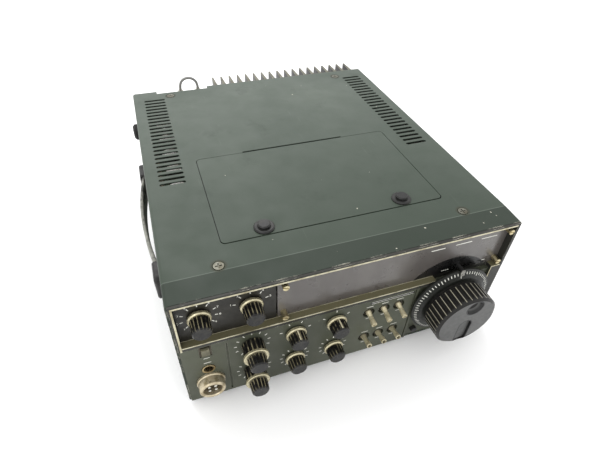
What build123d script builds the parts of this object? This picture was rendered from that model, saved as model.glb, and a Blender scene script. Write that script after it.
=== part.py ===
from build123d import *
import math
import os

# A compact short-wave transceiver, in millimetres.
# Working frame: X to the right, Y to the back, Z up; x = 0 is the middle of the case,
# y = 0 the front face of the lower panel and z = 0 the underside of the case.
# Every node is moved to the part's own frame, bottom centre of the whole set, when it is written.

# ---- case ----
CASE_W = 241.0
CASE_H = 107.0
CASE_BACK = 267.0
SHEET = 1.2
BEND_R = 2.5
COVER_FRONT = 1.0
SLOPE_START = 17.4
SLOPE_DROP = 0.9
SEAM_Z = 53.0
SEAM_GAP = 0.6
FIT = 0.3

# ---- vents and screws ----
VENT_COUNT = 24
VENT_X = (92.0, 111.0)
VENT_Y = (110.4, 249.9)
VENT_WIDTH = 3.0
SCREW_X = 86.0
SCREW_Y = (21.6, 254.9)
DIMPLE_R = 4.2
SCREW_HEAD_R = 3.3
SCREW_R = 1.5
SIDE_SCREW_Y = (30.0, 225.0)
SIDE_SCREW_Z = (38.0, 68.0)
SIDE_HEAD_H = 1.6

# ---- access hatch ----
HATCH_X = 80.5
HATCH_Y = (39.4, 137.2)
HATCH_R = 3.0
HATCH_GAP = 0.5
HATCH_FRONT_GAP = 1.0
LEDGE_SIDE = 5.0
LEDGE_FRONT = 15.0
TONGUE_X = 42.0
TONGUE_REACH = 4.0
LATCH_X = 50.9
LATCH_Y = 46.4
GROMMET_R = 7.0
GROMMET_H = 1.6
PLUNGER_R = 4.4

# ---- front ----
PANEL_T = 3.0
PANEL_TOP = 62.0
PANEL_X = 119.0
SUB_Y = 10.0
SUB_T = 1.6
BEZEL_TOP = 105.9
BEZEL_SIDE_RAIL = 2.2
BEZEL_TOP_RAIL = 2.6
BEZEL_BOTTOM_RAIL = 3.6
BEZEL_PROUD = 0.6
RECESS = 4.6
NOTCH_X = 62.0
NOTCH_DROP_Z = 50.0
LEG_X = 109.0
WINDOW_X = (-54.5, 116.6)
WINDOW_T = 2.2
KNOB_PANEL_X = (-116.6, -55.5)
POST_X = (-50.7, 113.2)
POST_INSET_Z = 4.0
POST_R = 2.1
POST_LENGTH = 5.8
GROOVE_X = -90.0
DOUBLE_GROOVE_X = (47.6, 50.4)

# ---- controls ----
BUSHING_R = 4.4
HOLE_CLEAR = 0.2
SHAFT_R = 3.0
SHAFT_CLEAR = 0.05
POT_R = 8.0
POT_DEPTH = 12.0
LOWER_Z = 20.0
UPPER_Z = 50.0
COLUMN_X = (-73.3, -43.5, -14.0)
TOP_KNOB_Z = 85.8
BAND_X = -103.2
METER_X = -71.5
KNOB_R = 6.4
KNOB_RING_R = 7.3
KNOB_RING_T = 2.6
KNOB_LENGTH = 10.8
TOP_KNOB_LENGTH = 12.4
KNOB_GAP = 0.8
KNOB_RIBS = 16
OUTER_KNOB_R = 7.5
OUTER_KNOB_RING_R = 8.4
OUTER_KNOB_LENGTH = 10.6
INNER_KNOB_LENGTH = 7.2
INNER_SHAFT_R = 1.6
SLEEVE_R = 2.6
TOGGLE_X = (11.6, 23.6, 35.6)
TOGGLE_UPPER_Z = 48.4
TOGGLE_LOWER_Z = 18.7
TOGGLE_TILT = 10.0
TOGGLE_LENGTH = 11.5
TOGGLE_HOLE_R = 4.6
TOGGLE_PIVOT_Y = 1.5
TOGGLE_BORE_R = 2.6
DIAL_X = 79.0
DIAL_Z = 41.0
SKIRT_R = 32.2
SKIRT_T = 4.0
GRIP_R = 24.2
FACE_R = 22.2
FACE_CHAMFER = 1.6
CROWN_T = 3.0
DIAL_BACK = -1.6
DIAL_FRONT = 24.5
GRIP_RIBS = 36
DIAL_SHAFT_R = 3.0
BUTTON_X = 56.3
BUTTON_Z = 9.2
BUTTON_R = 2.6
LEFT_COLUMN_X = -103.6
MIC_Z = 20.5
MIC_R = 9.3
MIC_PROUD = 8.0
JACK_Z = 35.4
JACK_BORE_R = 3.25
JACK_BUSHING_R = 4.4
POWER_Z = 55.5
POWER_W = 8.0
POWER_H = 11.0
ROCKER_PIVOT_Y = 3.0
ROCKER_TILT = 7.0
METER_PIVOT = (-27.0, 14.4, 72.0)

# ---- rear ----
FIN_COUNT = 18
FIN_X = (-39.0, 110.4)
FIN_TIP_Y = 289.0
FIN_ROOT_T = 3.4
FIN_TIP_T = 1.6
SINK_BASE_T = 5.0
SINK_Z = (8.0, 105.6)
RCA_X = (-74.4, -57.0)
RCA_Z = 96.0
RCA_PLUG_Y = 275.0
CORD_R = 1.3
ANTENNA = (-98.0, 40.0)
POWER_INLET = (-62.0, 26.0)
JACKS = [(-100, 76), (-84, 76), (-68, 76), (-52, 76), (-68, 54)]
GROUND = (-100.0, 14.0)

# The jumper's route, from the top of one plug's outlet to the other's.
JUMPER_ROUTE = [
    (RCA_X[0], RCA_PLUG_Y, RCA_Z + 6.4),
    (RCA_X[0], RCA_PLUG_Y, RCA_Z + 12.0),
    (RCA_X[0] + 3.6, RCA_PLUG_Y + 0.6, RCA_Z + 16.9),
    (RCA_X[0] + 9.4, RCA_PLUG_Y + 0.6, RCA_Z + 18.2),
    (RCA_X[1] - 2.6, RCA_PLUG_Y + 0.2, RCA_Z + 15.9),
    (RCA_X[1], RCA_PLUG_Y, RCA_Z + 11.2),
    (RCA_X[1], RCA_PLUG_Y, RCA_Z + 6.4),
]

# ---- left side ----
HANDLE_Y = (67.0, 194.0)
HANDLE_Z = 58.0
HANDLE_BULGE = 10.4
STRAP_T = 3.2
STRAP_H = 19.0
CAP_L = 21.0
CAP_H = 22.0
CAP_T = 7.0
BUMPER = (243.0, 80.0)

# ---- feet ----
FOOT_H = 4.6
FOOT_R = 9.5
FOOT_X = 98.0
FOOT_Y = (36.0, 236.0)

HALF_W = CASE_W / 2
SUB_BACK = SUB_Y + SUB_T
INNER_TOP = CASE_H - SHEET
SIDE_IN = HALF_W - SHEET
FRAME_OUT = SIDE_IN - FIT
FRAME_T = 1.5
FRAME_IN = FRAME_OUT - FRAME_T
REAR_FRONT = 263.4
REAR_BACK = 265.4
SINK_BACK = REAR_BACK + SINK_BASE_T
RIM_X = SIDE_IN - 1.4
RIM_LOW = SHEET + FIT
RIM_TOP = CASE_H - SLOPE_DROP - SHEET - FIT
CHASSIS_Z = 62.0
CHASSIS_FRONT = 46.0
BEZEL_FRONT = -BEZEL_PROUD
WINDOW_Z = (PANEL_TOP + BEZEL_BOTTOM_RAIL + 0.2, BEZEL_TOP - BEZEL_TOP_RAIL - 0.2)
HANDLE_OUT = -HALF_W - HANDLE_BULGE

# The part's origin: bottom centre of everything except the jumper cable and its plugs.
RIGHT_OUT = HALF_W + SIDE_HEAD_H
ORIGIN = Location((-(HANDLE_OUT + RIGHT_OUT) / 2, -(FIN_TIP_Y - DIAL_FRONT) / 2, FOOT_H))


def block(x, y, z):
    """A box from its (low, high) pairs."""
    size = Box(x[1] - x[0], y[1] - y[0], z[1] - z[0])
    return Pos((x[0] + x[1]) / 2, (y[0] + y[1]) / 2, (z[0] + z[1]) / 2) * size


def rod_y(radius, y, x, z):
    """A cylinder along Y."""
    return Pos(x, (y[0] + y[1]) / 2, z) * Rot(90, 0, 0) * Cylinder(radius, y[1] - y[0])


def rod_z(radius, z, x, y):
    """A cylinder along Z."""
    return Pos(x, y, (z[0] + z[1]) / 2) * Cylinder(radius, z[1] - z[0])


def rod_x(radius, x, y, z):
    """A cylinder along X."""
    return Pos((x[0] + x[1]) / 2, y, z) * Rot(0, 90, 0) * Cylinder(radius, x[1] - x[0])


def turned_y(outline, x, z, y_base=0.0):
    """A turned solid about an axis along Y; outline lists (radius, y) points."""
    points = [(r, -y) for r, y in outline]
    face = make_face(Polyline(*points, close=True))
    solid = revolve(face, Axis.Y)
    return Pos(x, y_base, z) * Rot(180, 0, 0) * solid


def turned_z(outline, x, y, z_base=0.0):
    """A turned solid about a vertical axis; outline lists (radius, z) points."""
    face = Plane.XZ * make_face(Polyline(*outline, close=True))
    return Pos(x, y, z_base) * revolve(face, Axis.Z)


def four(xs, ys):
    return [(x, y) for x in xs for y in ys]


def group(shapes):
    """Several solids in one node."""
    solids = []
    for shape in shapes:
        solids.extend(shape.solids())
    return Compound(solids)


def write(name, shape):
    export_step(ORIGIN * shape, f"parts/{name}.step")


# ---------------------------------------------------------------- covers

def shell_profile(top, side_from):
    """The U section of a cover whose outer face is at z = top and whose sides end at z = side_from."""
    height = abs(top - side_from)
    toward = 1 if top > side_from else -1
    outer = Rectangle(CASE_W, height)
    outer = fillet(outer.vertices().group_by(Axis.Y)[-1 if toward > 0 else 0], BEND_R)
    inner = Pos(0, -toward * SHEET) * Rectangle(CASE_W - 2 * SHEET, height)
    inner = fillet(inner.vertices().group_by(Axis.Y)[-1 if toward > 0 else 0], BEND_R - SHEET)
    return Pos(0, (top + side_from) / 2) * (outer - inner)


def section_at(profile, y):
    return Plane((0, y, 0), x_dir=(1, 0, 0), z_dir=(0, -1, 0)) * profile


def swept_shell(top, side_from, y):
    return extrude(section_at(shell_profile(top, side_from), y[0]), amount=-(y[1] - y[0]))


def dimples(surface, outward):
    """Countersunk screw dimples in a cover at z = surface."""
    cone = Cone(SCREW_R + 0.6, DIMPLE_R, SHEET + 0.2)
    if outward < 0:
        cone = Rot(180, 0, 0) * cone
    return [Pos(x, y, surface - outward * SHEET / 2) * cone for x, y in four((-SCREW_X, SCREW_X), SCREW_Y)]


def vents(z):
    pitch = (VENT_Y[1] - VENT_Y[0] - VENT_WIDTH) / (VENT_COUNT - 1)
    slots = []
    for side in (-1, 1):
        for i in range(VENT_COUNT):
            y = VENT_Y[0] + VENT_WIDTH / 2 + i * pitch
            slot = extrude(SlotOverall(VENT_X[1] - VENT_X[0], VENT_WIDTH), amount=6, both=True)
            slots.append(Pos(side * (VENT_X[0] + VENT_X[1]) / 2, y, z) * slot)
    return slots


def side_screw_holes(z):
    return [rod_x(SCREW_R + 0.1, (-HALF_W - 5, HALF_W + 5), y, z) for y in SIDE_SCREW_Y]


def rounded_slab(x, y, z, radius):
    outline = RectangleRounded(x[1] - x[0], y[1] - y[0], radius)
    slab = extrude(outline, amount=z[1] - z[0])
    return Pos((x[0] + x[1]) / 2, (y[0] + y[1]) / 2, z[0]) * slab


def top_cover():
    """The top and sides, with a slope at the front, the hatch's opening and its ledge, and the vents."""
    lip = section_at(shell_profile(CASE_H - SLOPE_DROP, SEAM_Z), COVER_FRONT)
    bend = section_at(shell_profile(CASE_H, SEAM_Z), SLOPE_START)
    cover = loft([lip, bend], ruled=True) + swept_shell(CASE_H, SEAM_Z, (SLOPE_START, CASE_BACK))
    front, back = HATCH_Y
    below = INNER_TOP - 5
    cover += block((-HATCH_X - 4, HATCH_X + 4), (front - 4, back + 4), (INNER_TOP - SHEET, INNER_TOP))
    cover -= rounded_slab((-HATCH_X - HATCH_GAP, HATCH_X + HATCH_GAP),
                          (front - HATCH_FRONT_GAP, back + HATCH_GAP),
                          (INNER_TOP, CASE_H + 1), HATCH_R + HATCH_GAP)
    cover -= rounded_slab((-HATCH_X + LEDGE_SIDE, HATCH_X - LEDGE_SIDE),
                          (front + LEDGE_FRONT, back - LEDGE_SIDE), (below, INNER_TOP + 1), 4)
    tongue = (-TONGUE_X - 1, TONGUE_X + 1)
    cover -= block(tongue, (back - LEDGE_SIDE - 1, back + 4.1), (below, INNER_TOP))
    cover -= block(tongue, (back - 2, back + 1.8), (INNER_TOP - 1, CASE_H + 1))
    cover -= [rod_z(3.4, (below, INNER_TOP + 1), x, LATCH_Y) for x in (-LATCH_X, LATCH_X)]
    cover -= vents(CASE_H)
    cover -= dimples(CASE_H, 1)
    cover -= side_screw_holes(SIDE_SCREW_Z[1])
    cover -= block((-98, -49), (CASE_BACK - 4.5, CASE_BACK + 1), (INNER_TOP - 1, CASE_H + 1))
    cover -= handle_holes()
    return cover


def bottom_cover():
    cover = swept_shell(0, SEAM_Z - SEAM_GAP, (COVER_FRONT, CASE_BACK))
    cover -= dimples(0, -1)
    cover -= side_screw_holes(SIDE_SCREW_Z[0])
    for i in range(9):
        slot = extrude(SlotOverall(46 - 2.2 * abs(i - 4), 2.4), amount=4, both=True)
        cover -= Pos(-60, 120 + 6 * (i - 4), 0) * slot
    cover -= [rod_z(2.0, (-5, 5), x, y) for x, y in four((-FOOT_X, FOOT_X), FOOT_Y)]
    return cover


def handle_holes():
    """The handle screws pass above the seam, through the side of the top cover."""
    return [rod_x(2.2, (-HALF_W - 5, -SIDE_IN + 5), y, HANDLE_Z) for y in HANDLE_Y]


def cover_screws():
    head = turned_z([(0, 0), (SCREW_HEAD_R, 0), (SCREW_R, -1.5), (SCREW_R, -7), (0, -7)], 0, 0)
    slot = Box(4.2, 0.8, 1.2) + Box(0.8, 4.2, 1.2)
    screw = head - slot
    screws = [Pos(x, y, CASE_H) * screw for x, y in four((-SCREW_X, SCREW_X), SCREW_Y)]
    screws += [Pos(x, y, 0) * Rot(180, 0, 0) * screw for x, y in four((-SCREW_X, SCREW_X), SCREW_Y)]
    pan = turned_z([(0, SIDE_HEAD_H), (2.0, SIDE_HEAD_H), (2.8, 0.9), (2.8, 0), (SCREW_R, 0),
                    (SCREW_R, -5), (0, -5)], 0, 0)
    pan -= Pos(0, 0, SIDE_HEAD_H) * slot
    for side in (-1, 1):
        for y in SIDE_SCREW_Y:
            for z in SIDE_SCREW_Z:
                screws.append(Pos(side * HALF_W, y, z) * Rot(0, 90 * side, 0) * pan)
    return group(screws)


def access_hatch():
    plate = rounded_slab((-HATCH_X, HATCH_X), HATCH_Y, (INNER_TOP + 0.05, CASE_H), HATCH_R)
    back = HATCH_Y[1]
    web = block((-TONGUE_X, TONGUE_X), (back - 1.2, back), (CASE_H - 5.4, INNER_TOP + 0.1))
    tongue = block((-TONGUE_X, TONGUE_X), (back - 0.1, back + TONGUE_REACH), (CASE_H - 5.4, CASE_H - 4.2))
    hatch = plate + web + tongue
    hatch -= [rod_z(3.0, (CASE_H - 3, CASE_H + 1), x, LATCH_Y) for x in (-LATCH_X, LATCH_X)]
    return hatch


def latch_grommets():
    outline = [(2.0, -3.6), (2.9, -3.6), (2.9, 0), (GROMMET_R, 0), (GROMMET_R, 0.8),
               (GROMMET_R - 0.8, GROMMET_H), (2.0, GROMMET_H)]
    return group([turned_z(outline, x, LATCH_Y, CASE_H) for x in (-LATCH_X, LATCH_X)])


def latch_plunger(x):
    base = GROMMET_H
    outline = [(0, -4.6), (1.2, -4.6), (1.95, -3.2), (1.95, base), (PLUNGER_R, base),
               (PLUNGER_R, base + 1.4), (PLUNGER_R - 0.8, base + 2.2), (0, base + 2.2)]
    return turned_z(outline, x, LATCH_Y, CASE_H)


# ---------------------------------------------------------------- structure

def flanged_plate(y, flange_y, hole_y):
    """A cross sheet between the covers; a flange along its top and bottom takes the cover screws."""
    low = SHEET + FIT
    high = INNER_TOP - SHEET - FIT
    plate = block((-FRAME_IN, FRAME_IN), y, (low, high))
    for z in ((high - 1.6, high), (low, low + 1.6)):
        plate += block((-FRAME_IN + 4, FRAME_IN - 4), flange_y, z)
    plate -= [rod_z(SCREW_R + 0.1, (-1, CASE_H), x, hole_y) for x in (-SCREW_X, SCREW_X)]
    return plate


def front_subpanel():
    sheet = flanged_plate((SUB_Y, SUB_BACK), (SUB_Y, SCREW_Y[0] + 6), SCREW_Y[0])
    for x, z in rotary_places():
        sheet -= rod_y(BUSHING_R + HOLE_CLEAR, (0, 20), x, z)
    sheet -= rod_y(6.6, (0, 20), DIAL_X, DIAL_Z)
    for x, z in toggle_places():
        sheet -= rod_y(3.2, (0, 20), x, z)
    sheet -= rod_y(JACK_BUSHING_R + 0.3, (0, 20), LEFT_COLUMN_X, JACK_Z)
    sheet -= rod_y(MIC_R - 1.9, (0, 20), LEFT_COLUMN_X, MIC_Z)
    sheet -= rod_y(3.0, (0, 20), BUTTON_X, BUTTON_Z)
    sheet -= block((LEFT_COLUMN_X - 4.4, LEFT_COLUMN_X + 4.4), (0, 20), (POWER_Z - 6, POWER_Z + 6))
    sheet -= block((-46, 6), (0, 20), (WINDOW_Z[0] + 3, WINDOW_Z[1] - 4))
    sheet -= block((22, 104), (0, 20), (WINDOW_Z[0] + 11, WINDOW_Z[1] - 5))
    return sheet


def rear_panel():
    panel = flanged_plate((REAR_FRONT, REAR_BACK), (SCREW_Y[1] - 6, REAR_BACK), SCREW_Y[1])
    for x in RCA_X:
        panel -= rod_y(4.0, (REAR_FRONT - 1, REAR_BACK + 1), x, RCA_Z)
    panel -= rod_y(6.2, (REAR_FRONT - 1, REAR_BACK + 1), ANTENNA[0], ANTENNA[1])
    panel -= block((POWER_INLET[0] - 12, POWER_INLET[0] + 12), (REAR_FRONT - 1, REAR_BACK + 1),
                   (POWER_INLET[1] - 9, POWER_INLET[1] + 9))
    for x, z in JACKS:
        panel -= rod_y(3.2, (REAR_FRONT - 1, REAR_BACK + 1), x, z)
    panel -= rod_y(2.6, (REAR_FRONT - 1, REAR_BACK + 1), GROUND[0], GROUND[1])
    return panel


def chassis_frames():
    frames = []
    for side in (-1, 1):
        x = sorted((side * FRAME_IN, side * FRAME_OUT))
        frame = block(x, (SUB_Y, REAR_BACK), (BEND_R + FIT, CASE_H - BEND_R - SLOPE_DROP - FIT))
        for y0, y1 in ((60, 130), (150, 215)):
            frame -= block((x[0] - 1, x[1] + 1), (y0, y1), (66, 96))
            frame -= block((x[0] - 1, x[1] + 1), (y0, y1), (12, 50))
        through = (x[0] - 1, x[1] + 1)
        frame -= [rod_x(SCREW_R + 0.1, through, y, z) for y, z in four(SIDE_SCREW_Y, SIDE_SCREW_Z)]
        if side < 0:
            frame -= [rod_x(2.2, through, y, HANDLE_Z) for y in HANDLE_Y]
        frames.append(frame)
    return group(frames)


def chassis_plate():
    plate = block((-FRAME_IN, FRAME_IN), (CHASSIS_FRONT, REAR_FRONT), (CHASSIS_Z, CHASSIS_Z + 1.5))
    plate -= block((-100, -30), (70, 200), (CHASSIS_Z - 1, CHASSIS_Z + 3))
    return plate


# ---------------------------------------------------------------- front

def rotary_places():
    """Every shaft that passes through the sub-panel, as (x, z)."""
    places = [(x, z) for x in COLUMN_X for z in (UPPER_Z, LOWER_Z)]
    return places + [(BAND_X, TOP_KNOB_Z), (METER_X, TOP_KNOB_Z)]


def toggle_places():
    return [(x, z) for z in (TOGGLE_UPPER_Z, TOGGLE_LOWER_Z) for x in TOGGLE_X]


def front_panel():
    """The lower panel: a full-size face whose rim behind it fits inside the covers."""
    low = 0.4
    body = block((-PANEL_X, PANEL_X), (0, COVER_FRONT - 0.1), (low, PANEL_TOP))
    body += block((-RIM_X, RIM_X), (0, SUB_Y), (RIM_LOW, PANEL_TOP))
    body -= block((-RIM_X + 2.5, RIM_X - 2.5), (PANEL_T, SUB_Y + 1), (RIM_LOW + 2.5, PANEL_TOP - 2.5))
    body -= block((DOUBLE_GROOVE_X[1] + 0.6, LEG_X), (-1, 1.4), (low - 1, PANEL_TOP + 1))
    body -= block((GROOVE_X - 0.6, GROOVE_X + 0.6), (-1, 0.9), (low + 2, PANEL_TOP - 3))
    for x in DOUBLE_GROOVE_X:
        body -= block((x - 0.6, x + 0.6), (-1, 1.0), (low - 1, PANEL_TOP + 1))
    for x, z in rotary_places()[:len(COLUMN_X) * 2]:
        body -= rod_y(BUSHING_R + HOLE_CLEAR, (-1, 5), x, z)
    for x, z in toggle_places():
        body -= rod_y(TOGGLE_HOLE_R, (-1, 5), x, z)
    body -= rod_y(6.6, (-1, 5), DIAL_X, DIAL_Z)
    body -= rod_y(BUTTON_R + 0.2, (-1, 5), BUTTON_X, BUTTON_Z)
    body -= rod_y(JACK_BUSHING_R + 0.3, (-1, 5), LEFT_COLUMN_X, JACK_Z)
    body -= rod_y(MIC_R - 1.9, (-1, 5), LEFT_COLUMN_X, MIC_Z)
    body -= block((LEFT_COLUMN_X - POWER_W / 2, LEFT_COLUMN_X + POWER_W / 2), (-1, SUB_Y + 1),
                  (POWER_Z - POWER_H / 2, POWER_Z + POWER_H / 2))
    return body


def bezel_frame():
    """The raised frame round the window: its bottom rail stops at the dial, where it turns down."""
    low = PANEL_TOP + 0.2
    body = block((-PANEL_X, PANEL_X), (BEZEL_FRONT, COVER_FRONT - 0.1), (low, BEZEL_TOP))
    body += block((-RIM_X, RIM_X), (BEZEL_FRONT, SUB_Y), (low, RIM_TOP))
    inside_x = PANEL_X - BEZEL_SIDE_RAIL
    inside_z = (low + BEZEL_BOTTOM_RAIL, BEZEL_TOP - BEZEL_TOP_RAIL)
    body -= block((-inside_x, inside_x), (-5, SUB_Y + 1), inside_z)
    body -= block((NOTCH_X, LEG_X), (-5, RECESS), (low - 1, low + BEZEL_BOTTOM_RAIL + 1))
    leg = block((LEG_X, PANEL_X), (BEZEL_FRONT, -0.05), (0.4, low + 3))
    drop = block((NOTCH_X - 1.6, NOTCH_X), (BEZEL_FRONT, -0.05), (NOTCH_DROP_Z, low + 1))
    rear = block((-inside_x, inside_x), (RECESS + WINDOW_T + 0.2, SUB_Y), (WINDOW_Z[0], WINDOW_Z[1]))
    rear -= block((-inside_x + 3, inside_x - 3), (0, SUB_Y + 1), (WINDOW_Z[0] + 3, WINDOW_Z[1] - 3))
    return body + leg + drop + rear


def knob_panel():
    plate = block(KNOB_PANEL_X, (RECESS, RECESS + WINDOW_T), WINDOW_Z)
    plate -= [rod_y(BUSHING_R + HOLE_CLEAR, (0, 12), x, TOP_KNOB_Z) for x in (BAND_X, METER_X)]
    return plate


def post_places():
    return [(x, z) for x in POST_X for z in (WINDOW_Z[0] + POST_INSET_Z, WINDOW_Z[1] - POST_INSET_Z)]


def display_window():
    plate = block(WINDOW_X, (RECESS, RECESS + WINDOW_T), WINDOW_Z)
    plate -= [rod_y(1.6, (0, 12), x, z) for x, z in post_places()]
    return plate


def window_posts():
    posts = []
    for x, z in post_places():
        post = rod_y(POST_R, (RECESS - POST_LENGTH, RECESS), x, z)
        post += rod_y(1.5, (RECESS, RECESS + WINDOW_T + 0.2), x, z)
        post -= Pos(x, RECESS - POST_LENGTH, z) * Rot(0, 25, 0) * Box(5, 1.6, 0.7)
        posts.append(post)
    return group(posts)


def dial_index():
    """The small pointer over the top of the dial's scale."""
    z = DIAL_Z + SKIRT_R
    foot = block((DIAL_X - 2.5, DIAL_X + 2.5), (RECESS - 1.6, RECESS - 0.05), (z - 3.5, z + 2.5))
    arm = block((DIAL_X - 1.2, DIAL_X + 1.2), (-5.6, RECESS - 1.6), (z + 0.8, z + 2.0))
    tip = block((DIAL_X - 1.2, DIAL_X + 1.2), (-5.6, -4.8), (z - 3.0, z + 1.0))
    return foot + arm + tip


def rotary_controls():
    """The potentiometers and rotary switches behind the front, each with its threaded bushing."""
    controls = []
    for x, z in rotary_places():
        upper = z == TOP_KNOB_Z
        front = RECESS + 0.3 if upper else 0.8
        body = rod_y(POT_R, (SUB_BACK, SUB_BACK + POT_DEPTH), x, z)
        body += rod_y(BUSHING_R, (front, SUB_BACK + 1), x, z)
        body += block((x - 5, x + 5), (SUB_BACK + POT_DEPTH - 3, SUB_BACK + POT_DEPTH - 1), (z - 13, z - 6))
        radius = SLEEVE_R if x == COLUMN_X[0] else SHAFT_R
        body -= rod_y(radius + SHAFT_CLEAR, (-2, SUB_BACK + POT_DEPTH - 4), x, z)
        controls.append(body)
    encoder = rod_y(13.0, (SUB_BACK, SUB_BACK + 18), DIAL_X, DIAL_Z)
    encoder += rod_y(6.4, (0.9, SUB_BACK + 1), DIAL_X, DIAL_Z)
    encoder -= rod_y(DIAL_SHAFT_R + SHAFT_CLEAR, (-2, SUB_BACK + 12), DIAL_X, DIAL_Z)
    controls.append(encoder)
    button_switch = block((BUTTON_X - 5, BUTTON_X + 5), (SUB_BACK, SUB_BACK + 9),
                          (BUTTON_Z - 4, BUTTON_Z + 5))
    button_switch -= rod_y(1.2, (0, SUB_BACK + 4), BUTTON_X, BUTTON_Z)
    controls.append(button_switch)
    half_w = POWER_W / 2
    housing = block((LEFT_COLUMN_X - half_w - 2, LEFT_COLUMN_X + half_w + 2), (SUB_BACK, SUB_BACK + 14),
                    (POWER_Z - POWER_H / 2 - 1.5, POWER_Z + POWER_H / 2 + 1.5))
    housing += block((LEFT_COLUMN_X - half_w + 0.1, LEFT_COLUMN_X + half_w - 0.1), (0.4, SUB_BACK + 1),
                     (POWER_Z - POWER_H / 2 + 0.1, POWER_Z + POWER_H / 2 - 0.1))
    housing -= block((LEFT_COLUMN_X - half_w + 1, LEFT_COLUMN_X + half_w - 1), (-1, SUB_BACK + 6),
                     (POWER_Z - POWER_H / 2 + 1, POWER_Z + POWER_H / 2 - 1))
    controls.append(housing)
    return group(controls)


def ribbed_disc(radius, depth, ribs, length):
    """A ribbed cylinder along +Z from z = 0: a round outline with a ring of notches cut in it."""
    notch = math.pi * radius / ribs * 0.55
    outline = Circle(radius) - PolarLocations(radius + notch - depth, ribs) * Circle(notch)
    return extrude(outline, amount=length)


def forward(shape, x, y, z):
    """Turns a solid built along +Z so that it points to the front and stands at (x, y, z)."""
    return Pos(x, y, z) * Rot(90, 0, 0) * shape


def tapered(radius, length):
    """The slightly tapered, chamfered envelope of a small knob."""
    outline = [(0, 0), (radius, 0), (radius - 0.5, length - 0.8), (radius - 1.3, length), (0, length)]
    return turned_z(outline, 0, 0)


def knob(radius, ring_r, length, ribs):
    """A ribbed push-on knob with a plated ring round its base, along +Z."""
    body = ribbed_disc(radius, 0.7, ribs, length)
    body &= tapered(radius, length)
    ring = turned_z([(0, 0), (ring_r - 0.4, 0), (ring_r, 0.4), (ring_r, KNOB_RING_T - 0.7),
                     (ring_r - 0.7, KNOB_RING_T), (0, KNOB_RING_T)], 0, 0)
    return body + ring


def shafted_knob(x, z, face_y, length, pointer):
    """A plain knob with its shaft, in front of a panel whose face is at face_y."""
    body = knob(KNOB_R, KNOB_RING_R, length, KNOB_RIBS)
    if pointer:
        body += Pos(0, KNOB_R - 0.4, length / 2 + 1) * Box(0.9, 1.0, length - 2.5)
    body = forward(body, x, face_y - KNOB_GAP, z)
    return body + rod_y(SHAFT_R, (face_y - KNOB_GAP - 0.1, SUB_BACK + 7), x, z)


def outer_knob(x, z):
    """The rear knob of a concentric pair: ribbed, flaring to a plated rim, on a sleeve."""
    length = OUTER_KNOB_LENGTH
    body = ribbed_disc(OUTER_KNOB_R, 0.7, KNOB_RIBS, length - 2.4)
    wide = OUTER_KNOB_RING_R
    rim = turned_z([(0, length - 2.6), (OUTER_KNOB_R - 0.5, length - 2.6), (wide, length - 1.8),
                    (wide, length - 0.4), (wide - 0.4, length), (0, length)], 0, 0)
    body = forward(body + rim, x, -KNOB_GAP, z)
    body += rod_y(SLEEVE_R, (-KNOB_GAP - 0.1, SUB_BACK + 3), x, z)
    return body - rod_y(INNER_SHAFT_R + SHAFT_CLEAR, (-30, 40), x, z)


def inner_knob(x, z):
    """The front knob of a concentric pair."""
    face = -KNOB_GAP - OUTER_KNOB_LENGTH - 0.4
    length = INNER_KNOB_LENGTH
    body = ribbed_disc(KNOB_R, 0.7, KNOB_RIBS, length)
    body &= tapered(KNOB_R, length)
    return forward(body, x, face, z) + rod_y(INNER_SHAFT_R, (face - 0.1, SUB_BACK + 6), x, z)


def dial_skirt():
    """The scale's dish behind the main knob."""
    back = DIAL_BACK
    front = back - SKIRT_T
    bore = DIAL_SHAFT_R + 0.02
    outline = [(bore, back), (SKIRT_R, back), (SKIRT_R, back - 1.2), (GRIP_R + 1.4, front), (bore, front)]
    return turned_y(outline, DIAL_X, DIAL_Z)


def main_knob():
    """The weighted grip with its finger dimple and a sunk finger pad in a smooth crown."""
    back = DIAL_BACK - SKIRT_T
    length = DIAL_FRONT + back
    body = ribbed_disc(GRIP_R, 1.1, GRIP_RIBS, length)
    crown = [(GRIP_R, length - FACE_CHAMFER), (FACE_R, length), (0, length)]
    body &= turned_z([(0, 0), (GRIP_R - 1.8, 0), (GRIP_R - 1.8, 2.0), (GRIP_R, 3.2)] + crown, 0, 0)
    body += turned_z([(0, length - CROWN_T), (GRIP_R, length - CROWN_T)] + crown, 0, 0)
    dimple = Pos(2.6, 14.8, length + 3.0) * Sphere(7.2)
    pill = Pos(0, -11.4, length) * extrude(SlotOverall(25, 10.0, rotation=90), amount=-1.8)
    body -= [dimple, pill, Cylinder(DIAL_SHAFT_R + 0.02, 2 * (length - 5))]
    return forward(body, DIAL_X, back, DIAL_Z)


def dial_shaft():
    front = -DIAL_FRONT + 6
    return rod_y(DIAL_SHAFT_R, (front, SUB_BACK + 11), DIAL_X, DIAL_Z)


def toggle_bodies():
    bodies = []
    for x, z in toggle_places():
        body = block((x - 4, x + 4), (SUB_BACK, SUB_BACK + 10), (z - 6.5, z + 6.5))
        body += rod_y(3.1, (0.6, SUB_BACK + 1), x, z)
        body -= rod_y(TOGGLE_BORE_R, (-3, TOGGLE_PIVOT_Y + 2.3), x, z)
        bodies.append(body)
    return group(bodies)


def toggle_lever(x, z, tilt):
    """A bat lever that flares to a rimmed, hollow tip; tilt is upwards from level, in degrees."""
    tip = TOGGLE_LENGTH
    outline = [(0, -1.6), (1.4, -1.6), (2.2, -0.5), (2.2, 1.0), (1.9, 2.6), (1.6, 4.6), (1.75, 7.0),
               (2.05, tip - 0.9), (2.05, tip - 0.2), (1.85, tip), (1.45, tip), (1.2, tip - 2.4),
               (0, tip - 2.4)]
    lever = turned_z(outline, 0, 0)
    return Pos(x, TOGGLE_PIVOT_Y, z) * Rot(90 - tilt, 0, 0) * lever


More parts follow.
